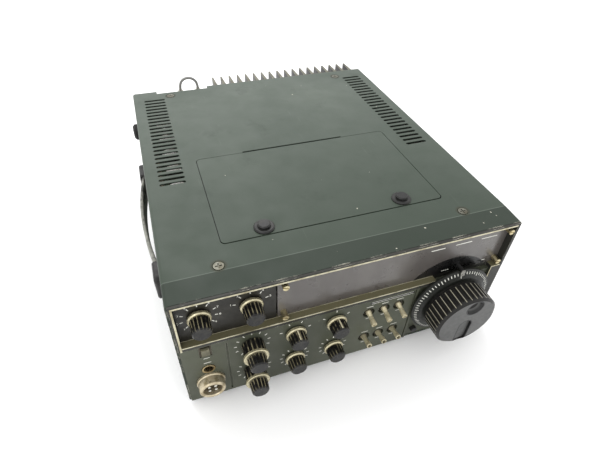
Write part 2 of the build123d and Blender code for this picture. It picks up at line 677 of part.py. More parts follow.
def power_rocker():
    """A rocker in the power switch's window, tipped to its lower end."""
    half_w = POWER_W / 2 - 1.3
    half_h = POWER_H / 2 - 1.6
    side = Polyline((-0.9, -half_h), (0.3, 0), (-0.9, half_h), (0.6, half_h), (5.2, 1.0), (5.2, -1.0),
                    (0.6, -half_h), close=True)
    body = extrude(Plane.YZ * make_face(Pos(-ROCKER_PIVOT_Y, 0) * side), amount=half_w, both=True)
    return Pos(LEFT_COLUMN_X, ROCKER_PIVOT_Y, POWER_Z) * Rot(ROCKER_TILT, 0, 0) * body


def lock_button():
    outline = [(0, -1.8), (BUTTON_R - 0.5, -1.8), (BUTTON_R, -1.3), (BUTTON_R, 6.0), (1.1, 6.0),
               (1.1, SUB_BACK + 0.5), (0, SUB_BACK + 0.5)]
    return turned_y(outline, BUTTON_X, BUTTON_Z)


def phones_jack():
    """A quarter-inch jack whose threaded bushing ends almost flush with the panel."""
    body = rod_y(JACK_BUSHING_R, (-0.4, SUB_BACK + 1), LEFT_COLUMN_X, JACK_Z)
    case = block((LEFT_COLUMN_X - 6, LEFT_COLUMN_X + 6), (SUB_BACK, SUB_BACK + 22), (JACK_Z - 6, JACK_Z + 6))
    return body + case - rod_y(JACK_BORE_R, (-5, SUB_BACK + 20), LEFT_COLUMN_X, JACK_Z)


def mic_connector():
    """A four-pin chassis connector: a wide threaded ring, an insulating insert and its pins."""
    front = -MIC_PROUD
    outline = [(MIC_R - 2.3, SUB_BACK + 6), (MIC_R - 2.3, -0.05), (MIC_R + 0.4, -0.05), (MIC_R + 0.4, -1.4),
               (MIC_R - 0.2, -2.0), (MIC_R - 0.5, front + 0.8), (MIC_R - 1.2, front), (MIC_R - 2.4, front),
               (MIC_R - 2.9, front + 0.6), (MIC_R - 2.9, SUB_BACK + 6)]
    shell = turned_y(outline, LEFT_COLUMN_X, MIC_Z)
    insert = rod_y(MIC_R - 3.0, (-0.6, SUB_BACK + 6), LEFT_COLUMN_X, MIC_Z)
    insert -= rod_y(MIC_R - 4.4, (-2.0, 1.2), LEFT_COLUMN_X, MIC_Z)
    pins = [Pos(LEFT_COLUMN_X, 0, MIC_Z) * loc * Cylinder(0.9, 9)
            for loc in Location((0, -2.0, 0), (90, 0, 0)) * PolarLocations(3.0, 4, start_angle=45)]
    insert -= pins
    return group([shell, insert] + pins)


# ---------------------------------------------------------------- inside

def meter_case():
    case = block((-48, -6), (SUB_BACK + 0.2, SUB_BACK + 24), (WINDOW_Z[0] + 1, WINDOW_Z[1] - 3))
    case -= block((-46.5, -7.5), (SUB_BACK - 1, SUB_BACK + 4), (WINDOW_Z[0] + 8, WINDOW_Z[1] - 4.5))
    case -= block((-31.5, -22.5), (SUB_BACK - 1, SUB_BACK + 10), (WINDOW_Z[0] + 2, WINDOW_Z[0] + 9))
    return case


def meter_needle():
    """A balanced pointer on a short spindle, leaning to the zero end of its scale."""
    x, y, z = METER_PIVOT
    hub = rod_y(1.5, (y - 0.6, y + 0.6), 0, 0)
    arm = block((-0.3, 0.3), (y - 0.3, y + 0.3), (0, 25.0))
    tail = block((-0.9, 0.9), (y - 0.5, y + 0.5), (-3.0, 0))
    return Pos(x, 0, z) * Rot(0, -38, 0) * (hub + arm + tail)


def digital_display():
    board = block((14, 108), (SUB_BACK + 10, SUB_BACK + 11.6), (WINDOW_Z[0] + 5, WINDOW_Z[1] - 5))
    tube = block((26, 100), (SUB_BACK + 1, SUB_BACK + 10), (WINDOW_Z[0] + 13, WINDOW_Z[1] - 7))
    return group([board, tube])


def main_board():
    upper = block((-108, 108), (60, 250), (CHASSIS_Z + 7, CHASSIS_Z + 8.6))
    lower = block((20, 112), (60, 250), (44, 45.6))
    rise = (CHASSIS_Z + 1.5, CHASSIS_Z + 7)
    pillars = [rod_z(2.5, rise, x, y) for x, y in four((-104, 104), (64, 155, 246))]
    return group([upper, lower] + pillars)


def board_components():
    """Coil cans, filters and transformers standing on the main board."""
    top = CHASSIS_Z + 8.6
    parts = []
    for i in range(6):
        for j in range(3):
            parts.append(block((-60 + 14 * i, -50 + 14 * i), (156 + 18 * j, 166 + 18 * j), (top, top + 15)))
    parts.append(block((-40, 10), (110, 132), (top, top + 18)))
    for side in (-1, 1):
        for i in range(5):
            x = side * 98
            parts.append(rod_z(6.5, (top, top + 20), x, 130 + 25 * i))
    parts.append(block((40, 74), (150, 200), (top, top + 20)))
    return group(parts)


def oscillator_box():
    box = block((22, 112), (64, 150), (8, 42))
    box -= block((24, 110), (66, 148), (10, 44))
    return box + block((22, 112), (64, 150), (41, 42.5))


def speaker():
    """A round loudspeaker that faces down through the bottom cover's slots."""
    outline = [(0, 14), (14, 14), (14, 24), (20, 24), (20, 12), (30, 4.2), (36, 4.2), (36, SHEET + 0.05),
               (31, SHEET + 0.05), (31, 2.6), (10, 9), (0, 9)]
    return turned_z(outline, -60, 120)


# ---------------------------------------------------------------- rear

def heatsink():
    """A finned extrusion across the back; the fins stand upright and taper to round tips."""
    first, last = FIN_X
    sink = block((first - 4, last + 4), (REAR_BACK, SINK_BACK), SINK_Z)
    pitch = (last - first) / (FIN_COUNT - 1)
    root, tip = FIN_ROOT_T / 2, FIN_TIP_T / 2
    end = FIN_TIP_Y - tip
    for i in range(FIN_COUNT):
        x = first + i * pitch
        foot = SINK_BACK - 0.1
        sides = Polyline((x + tip, end), (x + root, foot), (x - root, foot), (x - tip, end))
        nose = ThreePointArc((x - tip, end), (x, FIN_TIP_Y), (x + tip, end))
        fin = Pos(0, 0, SINK_Z[0]) * extrude(make_face([sides, nose]), amount=SINK_Z[1] - SINK_Z[0])
        sink += fin
    return sink


def antenna_socket():
    """A coaxial socket: square flange, threaded barrel and a centre contact."""
    x, z = ANTENNA
    flange = block((x - 12.5, x + 12.5), (REAR_BACK, REAR_BACK + 1.6), (z - 12.5, z + 12.5))
    barrel = rod_y(7.9, (REAR_BACK, REAR_BACK + 16), x, z) + rod_y(6.0, (REAR_FRONT - 6, REAR_BACK), x, z)
    bore = rod_y(5.9, (REAR_BACK + 5, REAR_BACK + 17), x, z)
    pin = rod_y(2.4, (REAR_BACK + 4, REAR_BACK + 13), x, z)
    pin -= rod_y(1.9, (REAR_BACK + 6, REAR_BACK + 14), x, z)
    heads = [Pos(x + 9.2 * dx, REAR_BACK + 1.6, z + 9.2 * dz) * Rot(-90, 0, 0) * Cylinder(2.4, 2.4)
             for dx, dz in four((-1, 1), (-1, 1))]
    return flange + barrel - bore + pin + heads


def power_inlet():
    """The power socket, a square shrouded connector with six contacts."""
    x, z = POWER_INLET
    shell = block((x - 14, x + 14), (REAR_BACK, REAR_BACK + 1.8), (z - 11, z + 11))
    shell += block((x - 11.5, x + 11.5), (REAR_FRONT - 8, REAR_BACK + 11), (z - 8.5, z + 8.5))
    shell -= block((x - 10, x + 10), (REAR_BACK + 2, REAR_BACK + 12), (z - 7, z + 7))
    reach = (REAR_BACK + 1, REAR_BACK + 8)
    contacts = [rod_y(1.2, reach, x + dx, z + dz) for dx, dz in four((-6.4, 0, 6.4), (-3.3, 3.3))]
    return shell + contacts


def jack_block():
    """The phono sockets that the jumper joins and the small jacks under them."""
    jacks = []
    for x in RCA_X:
        socket = rod_y(3.9, (REAR_FRONT - 4, REAR_BACK + 7), x, RCA_Z)
        socket += rod_y(5.4, (REAR_BACK, REAR_BACK + 1.4), x, RCA_Z)
        jacks.append(socket - rod_y(1.65, (REAR_BACK - 3, REAR_BACK + 8), x, RCA_Z))
    for x, z in JACKS:
        jack = rod_y(3.1, (REAR_FRONT - 10, REAR_BACK + 3.4), x, z)
        jack += extrude_hexagon(4.6, REAR_BACK, 2.0, x, z)
        jacks.append(jack - rod_y(1.8, (REAR_BACK - 6, REAR_BACK + 4), x, z))
    return group(jacks)


def extrude_hexagon(radius, y, length, x, z):
    return Pos(x, y, z) * Rot(-90, 0, 0) * extrude(RegularPolygon(radius, 6), amount=length)


def ground_terminal():
    """A stud with a hexagon at its foot and a wing nut."""
    x, z = GROUND
    stud = rod_y(2.4, (REAR_FRONT - 4, REAR_BACK + 15), x, z) + extrude_hexagon(5.0, REAR_BACK, 3, x, z)
    nut = rod_y(4.4, (REAR_BACK + 5, REAR_BACK + 10), x, z)
    wings = [Pos(x + side * 7, REAR_BACK + 9, z) * Rot(0, 0, side * -20) * Box(9, 5, 2.2) for side in (-1, 1)]
    return stud + nut + wings


def jumper_plugs():
    """Two right-angle phono plugs with their cable outlets pointing up."""
    plugs = []
    for x in RCA_X:
        shell = rod_y(4.7, (REAR_BACK + 1.5, RCA_PLUG_Y + 3.4), x, RCA_Z)
        shell += rod_z(2.5, (RCA_Z, RCA_Z + 6.4), x, RCA_PLUG_Y)
        shell -= rod_y(4.0, (REAR_BACK, REAR_BACK + 7.1), x, RCA_Z)
        shell += rod_y(1.5, (REAR_BACK - 2.5, REAR_BACK + 8), x, RCA_Z)
        plugs.append(shell)
    return group(plugs)


def cord_path(route):
    """Straight runs joined by arcs, each arc as large as its two runs allow."""
    points = [Vector(p) for p in route]
    radii = []
    for before, corner, after in zip(points, points[1:], points[2:]):
        shorter = min((corner - before).length, (after - corner).length)
        turn = math.radians((corner - before).get_angle(after - corner))
        radii.append(0.45 * shorter / math.tan(turn / 2))
    return FilletPolyline(*points, radius=radii)


def jumper_cable():
    path = cord_path(JUMPER_ROUTE)
    return sweep(Plane(path @ 0, z_dir=path % 0) * Circle(CORD_R), path)


# ---------------------------------------------------------------- handle and feet

def handle_strap():
    """A moulded strap that bows out from the left side between its two end caps."""
    y0, y1 = HANDLE_Y
    near = -HALF_W - 1.6
    far = near - STRAP_T
    bow = (y0 + 6, y1 - 6)
    tail = (y0 - 5, y1 + 5)
    middle = (y0 + y1) / 2
    inner = ThreePointArc((near, bow[0]), (HANDLE_OUT + STRAP_T, middle), (near, bow[1]))
    outer = ThreePointArc((far, bow[0]), (HANDLE_OUT, middle), (far, bow[1]))
    tails = [Polyline((near, bow[i]), (near, tail[i]), (far, tail[i]), (far, bow[i])) for i in (0, 1)]
    strap = extrude(make_face([inner, outer] + tails), amount=STRAP_H / 2, both=True)
    strap = Pos(0, 0, HANDLE_Z) * strap
    return strap - [rod_x(2.3, (far - 1, near + 1), y, HANDLE_Z) for y in HANDLE_Y]


def handle_ends():
    """The end caps that hold the strap, each with its screw through the strap and the case side."""
    caps = []
    for y, toward in ((HANDLE_Y[0], 1), (HANDLE_Y[1], -1)):
        cap = Pos(-HALF_W - CAP_T / 2, y, HANDLE_Z) * Box(CAP_T, CAP_L, CAP_H)
        cap = fillet(cap.edges().filter_by(Axis.X), 4.0)
        cap = fillet(cap.faces().sort_by(Axis.X)[0].edges(), 2.0)
        mouth = sorted((y - toward * 5.4, y + toward * (CAP_L / 2 + 1)))
        tall = (HANDLE_Z - STRAP_H / 2 - 0.4, HANDLE_Z + STRAP_H / 2 + 0.4)
        cap -= block((-HALF_W - 6.1, -HALF_W - 1.2), mouth, tall)
        cap += rod_x(4.0, (-HALF_W - CAP_T - 0.6, -HALF_W - CAP_T + 0.5), y, HANDLE_Z)
        cap += rod_x(2.1, (-HALF_W - CAP_T, -FRAME_IN + 3), y, HANDLE_Z)
        caps.append(cap)
    return group(caps)


def rubber_feet():
    """Four turned feet, each with its fixing plug, and the bumper on the left side."""
    outline = [(0, -FOOT_H), (FOOT_R - 1.6, -FOOT_H), (FOOT_R - 0.8, -FOOT_H + 0.6), (FOOT_R, -0.6),
               (FOOT_R, -0.05), (1.9, -0.05), (1.9, SHEET + 1.2), (0, SHEET + 1.2)]
    feet = [turned_z(outline, x, y) for x, y in four((-FOOT_X, FOOT_X), FOOT_Y)]
    bumper = turned_z([(0, 0.05), (7.5, 0.05), (7.5, 4.0), (5.5, 5.8), (0, 5.8)], 0, 0)
    feet.append(Pos(-HALF_W, BUMPER[0], BUMPER[1]) * Rot(0, -90, 0) * bumper)
    return group(feet)


# ---------------------------------------------------------------- all nodes

def front_controls():
    """The knobs and levers on the front, by node name."""
    shapes = {
        "band_knob": shafted_knob(BAND_X, TOP_KNOB_Z, RECESS, TOP_KNOB_LENGTH, False),
        "meter_switch_knob": shafted_knob(METER_X, TOP_KNOB_Z, RECESS, TOP_KNOB_LENGTH, False),
        "mode_knob": shafted_knob(COLUMN_X[1], UPPER_Z, 0, KNOB_LENGTH, True),
        "vfo_switch_knob": shafted_knob(COLUMN_X[2], UPPER_Z, 0, KNOB_LENGTH, True),
        "rit_knob": shafted_knob(COLUMN_X[1], LOWER_Z, 0, KNOB_LENGTH, False),
        "shift_knob": shafted_knob(COLUMN_X[2], LOWER_Z, 0, KNOB_LENGTH, False),
    }
    for row, z in (("upper", UPPER_Z), ("lower", LOWER_Z)):
        shapes[f"{row}_outer_knob"] = outer_knob(COLUMN_X[0], z)
        shapes[f"{row}_inner_knob"] = inner_knob(COLUMN_X[0], z)
    for number, (x, z) in enumerate(toggle_places(), start=1):
        tilt = TOGGLE_TILT if z == TOGGLE_LOWER_Z else -TOGGLE_TILT
        shapes[f"toggle_lever_{number}"] = toggle_lever(x, z, tilt)
    return shapes


SINGLE_NODES = [
    top_cover, bottom_cover, cover_screws, access_hatch, latch_grommets,
    chassis_frames, chassis_plate, front_subpanel, rear_panel,
    front_panel, bezel_frame, knob_panel, display_window, window_posts, dial_index,
    rotary_controls, dial_skirt, main_knob, dial_shaft,
    toggle_bodies, power_rocker, lock_button, phones_jack, mic_connector,
    meter_case, meter_needle, digital_display, main_board, board_components, oscillator_box, speaker,
    heatsink, antenna_socket, power_inlet, jack_block, ground_terminal, jumper_plugs, jumper_cable,
    handle_strap, handle_ends, rubber_feet,
]

os.makedirs("parts", exist_ok=True)
for make in SINGLE_NODES:
    write(make.__name__, make())
write("latch_plunger_left", latch_plunger(-LATCH_X))
write("latch_plunger_right", latch_plunger(LATCH_X))
for name, shape in front_controls().items():
    write(name, shape)
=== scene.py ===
"""The looks of a compact short-wave transceiver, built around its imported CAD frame.

Positions are in millimetres of the set frame: x = 0 at the case's middle, y = 0 at the lower panel's face
and z = 0 at the case's underside. at() turns such a point into the row frame, which is in metres.
"""

import math

import bmesh
import bpy
from mathutils import Matrix, Vector


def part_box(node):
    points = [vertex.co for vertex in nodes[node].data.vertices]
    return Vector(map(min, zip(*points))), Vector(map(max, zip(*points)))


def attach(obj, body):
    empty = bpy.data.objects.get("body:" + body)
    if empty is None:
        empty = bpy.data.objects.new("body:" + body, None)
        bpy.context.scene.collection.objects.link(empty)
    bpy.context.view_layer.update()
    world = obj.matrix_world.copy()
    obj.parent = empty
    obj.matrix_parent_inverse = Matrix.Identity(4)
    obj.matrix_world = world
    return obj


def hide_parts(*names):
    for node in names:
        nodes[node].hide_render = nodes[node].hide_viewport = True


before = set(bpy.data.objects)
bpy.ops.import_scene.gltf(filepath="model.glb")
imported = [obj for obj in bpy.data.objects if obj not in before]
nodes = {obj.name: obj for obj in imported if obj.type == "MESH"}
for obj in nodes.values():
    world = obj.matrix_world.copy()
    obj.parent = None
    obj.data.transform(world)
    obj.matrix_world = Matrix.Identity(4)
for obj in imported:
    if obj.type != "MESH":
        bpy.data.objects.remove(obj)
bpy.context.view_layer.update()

MM = 0.001

# ---- places that the CAD gives ----
cover_low, cover_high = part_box("top_cover")
panel_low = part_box("front_panel")[0]
under_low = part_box("bottom_cover")[0]
ORIGIN = Vector(((cover_low.x + cover_high.x) / 2, panel_low.y, under_low.z))


def at(x, y, z):
    """A point of the set frame, in millimetres, as a point of the row frame."""
    return ORIGIN + Vector((x, y, z)) * MM


def middle(node):
    """The middle of a CAD node, in the set frame and millimetres."""
    low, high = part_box(node)
    return ((low + high) / 2 - ORIGIN) / MM


def extent(node):
    """The lowest and highest corner of a CAD node, in the set frame and millimetres."""
    low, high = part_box(node)
    return (low - ORIGIN) / MM, (high - ORIGIN) / MM


CASE_H = extent("top_cover")[1].z
WINDOW_LOW = extent("display_window")[0]
BEZEL_LOW, BEZEL_HIGH = extent("bezel_frame")
KNOB_PANEL_FACE = extent("knob_panel")[0].y
DIAL = middle("dial_skirt")
DIAL_LOW, DIAL_HIGH = extent("main_knob")
SKIRT_LOW, SKIRT_HIGH = extent("dial_skirt")
SKIRT_R = (SKIRT_HIGH.x - SKIRT_LOW.x) / 2
GRIP_R = (DIAL_HIGH.x - DIAL_LOW.x) / 2

# ---- sizes of CAD details that the paint follows ----
FACE_R = 22.2
GRIP_RIBS = 36
KNOB_RIBS = 16
DIMPLE_PLACE = (2.6, 14.8)
DIMPLE_R = 6.5
PILL_Z = -11.4
PILL_HALF = 7.5
PILL_R = 5.0
TOGGLE_ROWS = (48.4, 18.7)
LEVER_RISE = 1.8

# ---- camera ----
LENS = 26.2824
SENSOR = 36.0
EYE = (-104.094, -160.273, 301.060)
RIGHT = Vector((0.944093, -0.328260, 0.030561))
DOWN = Vector((-0.198276, -0.639413, -0.742857))
FORWARD = Vector((0.263391, 0.695267, -0.668752))


def make_camera():
    data = bpy.data.cameras.new("camera")
    data.sensor_width = SENSOR
    data.lens = LENS
    data.clip_start = 0.01
    data.clip_end = 20
    camera = bpy.data.objects.new("camera", data)
    bpy.context.scene.collection.objects.link(camera)
    turn = Matrix((RIGHT, -DOWN, -FORWARD)).transposed()
    camera.matrix_world = Matrix.Translation(at(*EYE)) @ turn.to_4x4()
    bpy.context.scene.camera = camera


make_camera()

# ---- the jumper cable on the rear ----
JUMPER_D = 2.6
PLUG_X = (-74.4, -57.0)
PLUG_Y = 275.0
PLUG_Z = 96.0
JUMPER_ROUTE = [
    (PLUG_X[0], PLUG_Y, PLUG_Z + 6.4),
    (PLUG_X[0], PLUG_Y, PLUG_Z + 12.0),
    (PLUG_X[0] + 3.6, PLUG_Y + 0.6, PLUG_Z + 16.9),
    (PLUG_X[0] + 9.4, PLUG_Y + 0.6, PLUG_Z + 18.2),
    (PLUG_X[1] - 2.6, PLUG_Y + 0.2, PLUG_Z + 15.9),
    (PLUG_X[1], PLUG_Y, PLUG_Z + 11.2),
    (PLUG_X[1], PLUG_Y, PLUG_Z + 6.4),
]


def make_jumper():
    """The cable; its points carry its radius, because a curve's bounding box is padded by theirs."""
    curve = bpy.data.curves.new("jumper_lead", "CURVE")
    curve.dimensions = "3D"
    curve.bevel_depth = 1.0
    curve.bevel_resolution = 4
    curve.use_fill_caps = True
    spline = curve.splines.new("NURBS")
    spline.points.add(len(JUMPER_ROUTE) - 1)
    for point, place in zip(spline.points, JUMPER_ROUTE):
        point.co = (*at(*place), 1)
        point.radius = JUMPER_D / 2 * MM
    spline.order_u = 3
    spline.use_endpoint_u = True
    spline.resolution_u = 12
    lead = bpy.data.objects.new("jumper_lead", curve)
    bpy.context.scene.collection.objects.link(lead)
    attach(lead, "radio")
    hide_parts("jumper_cable")
    return lead


jumper = make_jumper()


# ---------------------------------------------------------------- materials

class Look:
    """One procedural material: methods add nodes and return their output sockets."""

    def __init__(self, name, roughness=0.5, metallic=0.0, specular=0.5):
        self.material = bpy.data.materials.new(name)
        self.material.use_nodes = True
        self.tree = self.material.node_tree
        self.shader = self.tree.nodes["Principled BSDF"]
        self.shader.inputs["Roughness"].default_value = roughness
        self.shader.inputs["Metallic"].default_value = metallic
        self.shader.inputs["Specular IOR Level"].default_value = specular
        self.coordinates = self.tree.nodes.new("ShaderNodeTexCoord").outputs["Object"]

    def node(self, kind, **settings):
        made = self.tree.nodes.new(kind)
        for key, value in settings.items():
            setattr(made, key, value)
        return made

    def join(self, source, socket):
        """Links a socket, or sets a plain value."""
        if isinstance(source, bpy.types.NodeSocket):
            self.tree.links.new(source, socket)
        else:
            socket.default_value = source

    def math(self, operation, a, b=0.0, clamp=False):
        made = self.node("ShaderNodeMath", operation=operation, use_clamp=clamp)
        self.join(a, made.inputs[0])
        self.join(b, made.inputs[1])
        return made.outputs[0]

    def stretched(self, stretch):
        mapping = self.node("ShaderNodeMapping")
        self.join(self.coordinates, mapping.inputs["Vector"])
        mapping.inputs["Scale"].default_value = stretch
        return mapping.outputs["Vector"]

    def noise(self, scale, detail=3.0, stretch=(1, 1, 1), rough=0.5):
        made = self.node("ShaderNodeTexNoise")
        self.join(self.stretched(stretch), made.inputs["Vector"])
        made.inputs["Scale"].default_value = scale
        made.inputs["Detail"].default_value = detail
        made.inputs["Roughness"].default_value = rough
        return made.outputs["Fac"]

    def window(self, value, low, high):
        """0 below low, 1 above high, smooth between."""
        made = self.node("ShaderNodeMapRange", interpolation_type="SMOOTHSTEP")
        self.join(value, made.inputs["Value"])
        made.inputs["From Min"].default_value = low
        made.inputs["From Max"].default_value = high
        return made.outputs["Result"]

    def spread(self, value, low, high):
        """Spreads the usual range of a noise to low..high."""
        made = self.node("ShaderNodeMapRange")
        self.join(value, made.inputs["Value"])
        made.inputs["From Min"].default_value = 0.3
        made.inputs["From Max"].default_value = 0.7
        made.inputs["To Min"].default_value = low
        made.inputs["To Max"].default_value = high
        return made.outputs["Result"]

    def mix(self, a, b, factor):
        made = self.node("ShaderNodeMix", data_type="RGBA")
        self.join(factor, made.inputs["Factor"])
        for source, socket in ((a, made.inputs["A"]), (b, made.inputs["B"])):
            self.join((*source, 1.0) if isinstance(source, tuple) else source, socket)
        return made.outputs["Result"]

    def axis(self, name):
        """One coordinate in the set frame, in metres."""
        split = self.node("ShaderNodeSeparateXYZ")
        self.join(self.coordinates, split.inputs[0])
        offset = {"X": ORIGIN.x, "Y": ORIGIN.y, "Z": ORIGIN.z}[name]
        return self.math("SUBTRACT", split.outputs[name], offset)

    def offset(self, name, place):
        """How far a point lies past a place on one axis, in metres; the place is in millimetres."""
        return self.math("SUBTRACT", self.axis(name), place * MM)

    def length(self, a, b):
        """The length of the step that goes a along one axis and b along another."""
        return self.math("SQRT", self.math("ADD", self.both(a, a), self.both(b, b)))

    def radius(self, a, b, axes="XZ"):
        """Distance from the line through (a, b), across the two named axes, in metres."""
        return self.length(self.offset(axes[0], a), self.offset(axes[1], b))

    def rib_phase(self, x, z, ribs):
        """0 to 1 from one notch of a ribbed knob to the next, round the line along Y through (x, z)."""
        turn = self.math("ARCTAN2", self.offset("Z", z), self.offset("X", x))
        return self.math("FRACT", self.both(turn, ribs / (2 * math.pi)))

    def capsule(self, x, z, half):
        """Distance from an upright segment of the given half-length in the XZ plane, in metres."""
        along = self.math("ABSOLUTE", self.offset("Z", z))
        past = self.math("MAXIMUM", self.math("SUBTRACT", along, half * MM), 0.0)
        return self.length(self.offset("X", x), past)

    def facing(self, name):
        """The surface normal's component along one axis."""
        split = self.node("ShaderNodeSeparateXYZ")
        geometry = self.node("ShaderNodeNewGeometry")
        self.join(geometry.outputs["True Normal"], split.inputs[0])
        return split.outputs[name]

    def inverse(self, value):
        return self.math("SUBTRACT", 1.0, value)

    def both(self, a, b):
        return self.math("MULTIPLY", a, b)

    def edges(self, radius, low=0.02, high=0.12, patch=220.0):
        """A worn-edge mask: where a rounded normal leaves the true one, broken up by a noise."""
        bevel = self.node("ShaderNodeBevel", samples=4)
        bevel.inputs["Radius"].default_value = radius
        geometry = self.node("ShaderNodeNewGeometry")
        dot = self.node("ShaderNodeVectorMath", operation="DOT_PRODUCT")
        self.join(bevel.outputs[0], dot.inputs[0])
        self.join(geometry.outputs["Normal"], dot.inputs[1])
        away = self.inverse(dot.outputs["Value"])
        broken = self.both(away, self.spread(self.noise(patch, 4), 0.3, 1.6))
        return self.window(broken, low, high)

    def between(self, value, low, high, soft=0.00005):
        above = self.window(value, low - soft, low + soft)
        below = self.window(value, high - soft, high + soft)
        return self.math("SUBTRACT", above, below, clamp=True)

    def bump(self, height, strength, distance):
        made = self.node("ShaderNodeBump")
        made.inputs["Strength"].default_value = strength
        made.inputs["Distance"].default_value = distance
        self.join(height, made.inputs["Height"])
        self.join(made.outputs[0], self.shader.inputs["Normal"])

    def colour(self, socket):
        self.join((*socket, 1.0) if isinstance(socket, tuple) else socket, self.shader.inputs["Base Color"])

    def rough(self, socket):
        self.join(socket, self.shader.inputs["Roughness"])

    def metal(self, socket):
        self.join(socket, self.shader.inputs["Metallic"])


CHAMPAGNE = (0.60, 0.57, 0.42)
PALE_GOLD = (0.66, 0.61, 0.42)
CHIP = (0.52, 0.50, 0.42)
# Near black painted into the shade of the cover's slots and gaps.
GAP_SHADE_BLACK = (0.004, 0.004, 0.004)
SCREW_GRIME = (0.030, 0.028, 0.014)


def mottled(look, light, dark):
    """The colour of stoved enamel on sheet steel: uneven, a little grimy and finely scratched."""
    base = look.mix(dark, light, look.spread(look.noise(14, 5), 0.0, 1.0))
    grime = look.window(look.noise(38, 6, rough=0.7), 0.56, 0.72)
    base = look.mix(base, tuple(0.62 * c for c in dark), look.both(grime, 0.45))
    fine = look.window(look.noise(420, 2, stretch=(1, 0.06, 1)), 0.70, 0.78)
    return look.mix(base, tuple(min(1.0, 1.7 * c) for c in light), look.both(fine, 0.35))


def chipped(look, base, where=1.0, edge_radius=0.0009):
    """Chips to pale metal along the edges, and the few specks in a flat face."""
    specks = look.window(look.noise(260, 1), 0.795, 0.815)
    broken = look.window(look.noise(75, 5, rough=0.7), 0.45, 0.62)
    along = look.both(look.edges(edge_radius), look.both(broken, where))
    worn = look.math("MAXIMUM", along, look.both(specks, 0.9))
    look.metal(look.both(worn, 0.5))
    return look.mix(base, CHIP, worn)


def satin(look):
    """The sheen and orange peel of the enamel."""
    look.rough(look.spread(look.noise(60, 5), 0.42, 0.58))
    look.bump(look.noise(1900, 2), 0.22, 0.00008)


def panel_look():
    look = Look("panel_finish", specular=0.3)
    look.colour(chipped(look, mottled(look, *PANEL_GREY), 0.3, edge_radius=0.0005))
    satin(look)
    return look.material


CREASE_Y = 17.4
SCREW_PLACES = [(x, y) for x in (-86.0, 86.0) for y in (21.6, 254.9)]
SIDE_X = 117.5
FRONT_EDGE_Y = 3.0
GAPS_FROM_Y = 24.0
GAPS_TOP = CASE_H - 0.8


def cover_look(name, slotted):
    """Grey-green enamel with painted shade darkening it towards the front, a darker painted-shade strip in
    front of the crease and a painted highlight along the crease, chipped along the outer edges; painted shade
    inside the gaps of a slotted cover.
    """
    look = Look(name, specular=0.24)
    depth = look.axis("Y")
    aside = look.math("ABSOLUTE", look.axis("X"))
    base = mottled(look, *GREY_GREEN)
    # Painted shade: the enamel darkens towards the front, to SHADED_GREEN, as if the light fell off from the
    # rear.
    painted_front_shade = look.inverse(look.window(depth, -0.02, 0.25))
    base = look.mix(base, SHADED_GREEN, look.both(painted_front_shade, 0.85))
    # Painted shade on the sloped strip in front of the crease, and a pale painted highlight line along the
    # crease itself.
    strip = look.inverse(look.window(depth, (CREASE_Y - 0.2) * MM, CREASE_Y * MM))
    base = look.mix(base, tuple(0.6 * c for c in SHADED_GREEN), look.both(strip, 0.7))
    crease = look.between(depth, (CREASE_Y - 0.1) * MM, (CREASE_Y + 0.5) * MM)
    base = look.mix(base, GREY_GREEN[0], look.both(crease, 0.8))
    for x, y in SCREW_PLACES:
        ring = look.between(look.radius(x, y, "XY"), 2.2 * MM, 5.0 * MM, 0.0006)
        base = look.mix(base, SCREW_GRIME, look.both(ring, 0.55))
    side = look.window(aside, SIDE_X * MM, (SIDE_X + 1.0) * MM)
    front = look.inverse(look.window(depth, FRONT_EDGE_Y * MM, (FRONT_EDGE_Y + 2.0) * MM))
    base = chipped(look, base, look.math("MAXIMUM", side, front))
    if slotted:
        # Painted shade: faces below the top surface, inside the sides and behind the front edge, are painted
        # near black for the shade in the slots and in the gaps round the hatch.
        below = look.inverse(look.window(look.axis("Z"), GAPS_TOP * MM, (GAPS_TOP + 0.3) * MM))
        within = look.inverse(look.window(aside, SIDE_X * MM, (SIDE_X + 0.5) * MM))
        behind = look.window(depth, GAPS_FROM_Y * MM, (GAPS_FROM_Y + 1.0) * MM)
        base = look.mix(base, GAP_SHADE_BLACK, look.both(below, look.both(within, behind)))
    look.colour(base)
    satin(look)
    return look.material


def bezel_look():
    """The bezel's dark enamel, with the upward face of the ledge under the window painted a lighter
    olive-gold as painted light from above.
    """
    look = Look("bezel_finish", specular=0.3)
    base = mottled(look, *FRAME_GREY)
    ledge_z = WINDOW_LOW.z - 0.2
    level = look.between(look.axis("Z"), (ledge_z - 0.3) * MM, (ledge_z + 0.3) * MM)
    # Painted highlight: the ledge's upward face is lightened to olive-gold where the light falls on it.
    ledge = look.both(level, look.window(look.facing("Z"), 0.6, 0.8))
    base = look.mix(base, (0.115, 0.105, 0.058), ledge)
    look.colour(chipped(look, base, edge_radius=0.0005))
    satin(look)
    return look.material


def plated(name, colour, roughness=0.28, brushed=(1, 1, 1), dirt=0.55):
    """Plated or bare metal, dulled in patches and darker where dirt has stayed."""
    look = Look(name, metallic=1.0)
    patches = look.window(look.noise(120, 6, rough=0.65), 0.42, 0.68)
    dull = tuple(dirt * c * k for c, k in zip(colour, (1.0, 0.93, 0.80)))
    look.colour(look.mix(colour, dull, patches))
    look.rough(look.spread(look.noise(160, 5), roughness, roughness + 0.2))
    look.bump(look.noise(1400, 3, stretch=brushed), 0.18, 0.00006)
    return look.material


def plastic(name, dark, light, roughness=0.4, worn=None, edge_radius=0.0005):
    """Moulded plastic with a fine grain, greyed by handling."""
    look = Look(name, specular=0.35)
    base = look.mix(dark, light, look.window(look.noise(90, 5), 0.45, 0.75))
    if worn is not None:
        base = look.mix(base, worn, look.both(look.edges(edge_radius, 0.03, 0.3), 0.6))
    look.colour(base)
    look.rough(look.spread(look.noise(240, 4), roughness - 0.08, roughness + 0.14))
    look.bump(look.noise(2600, 2), 0.2, 0.00005)
    return look.material


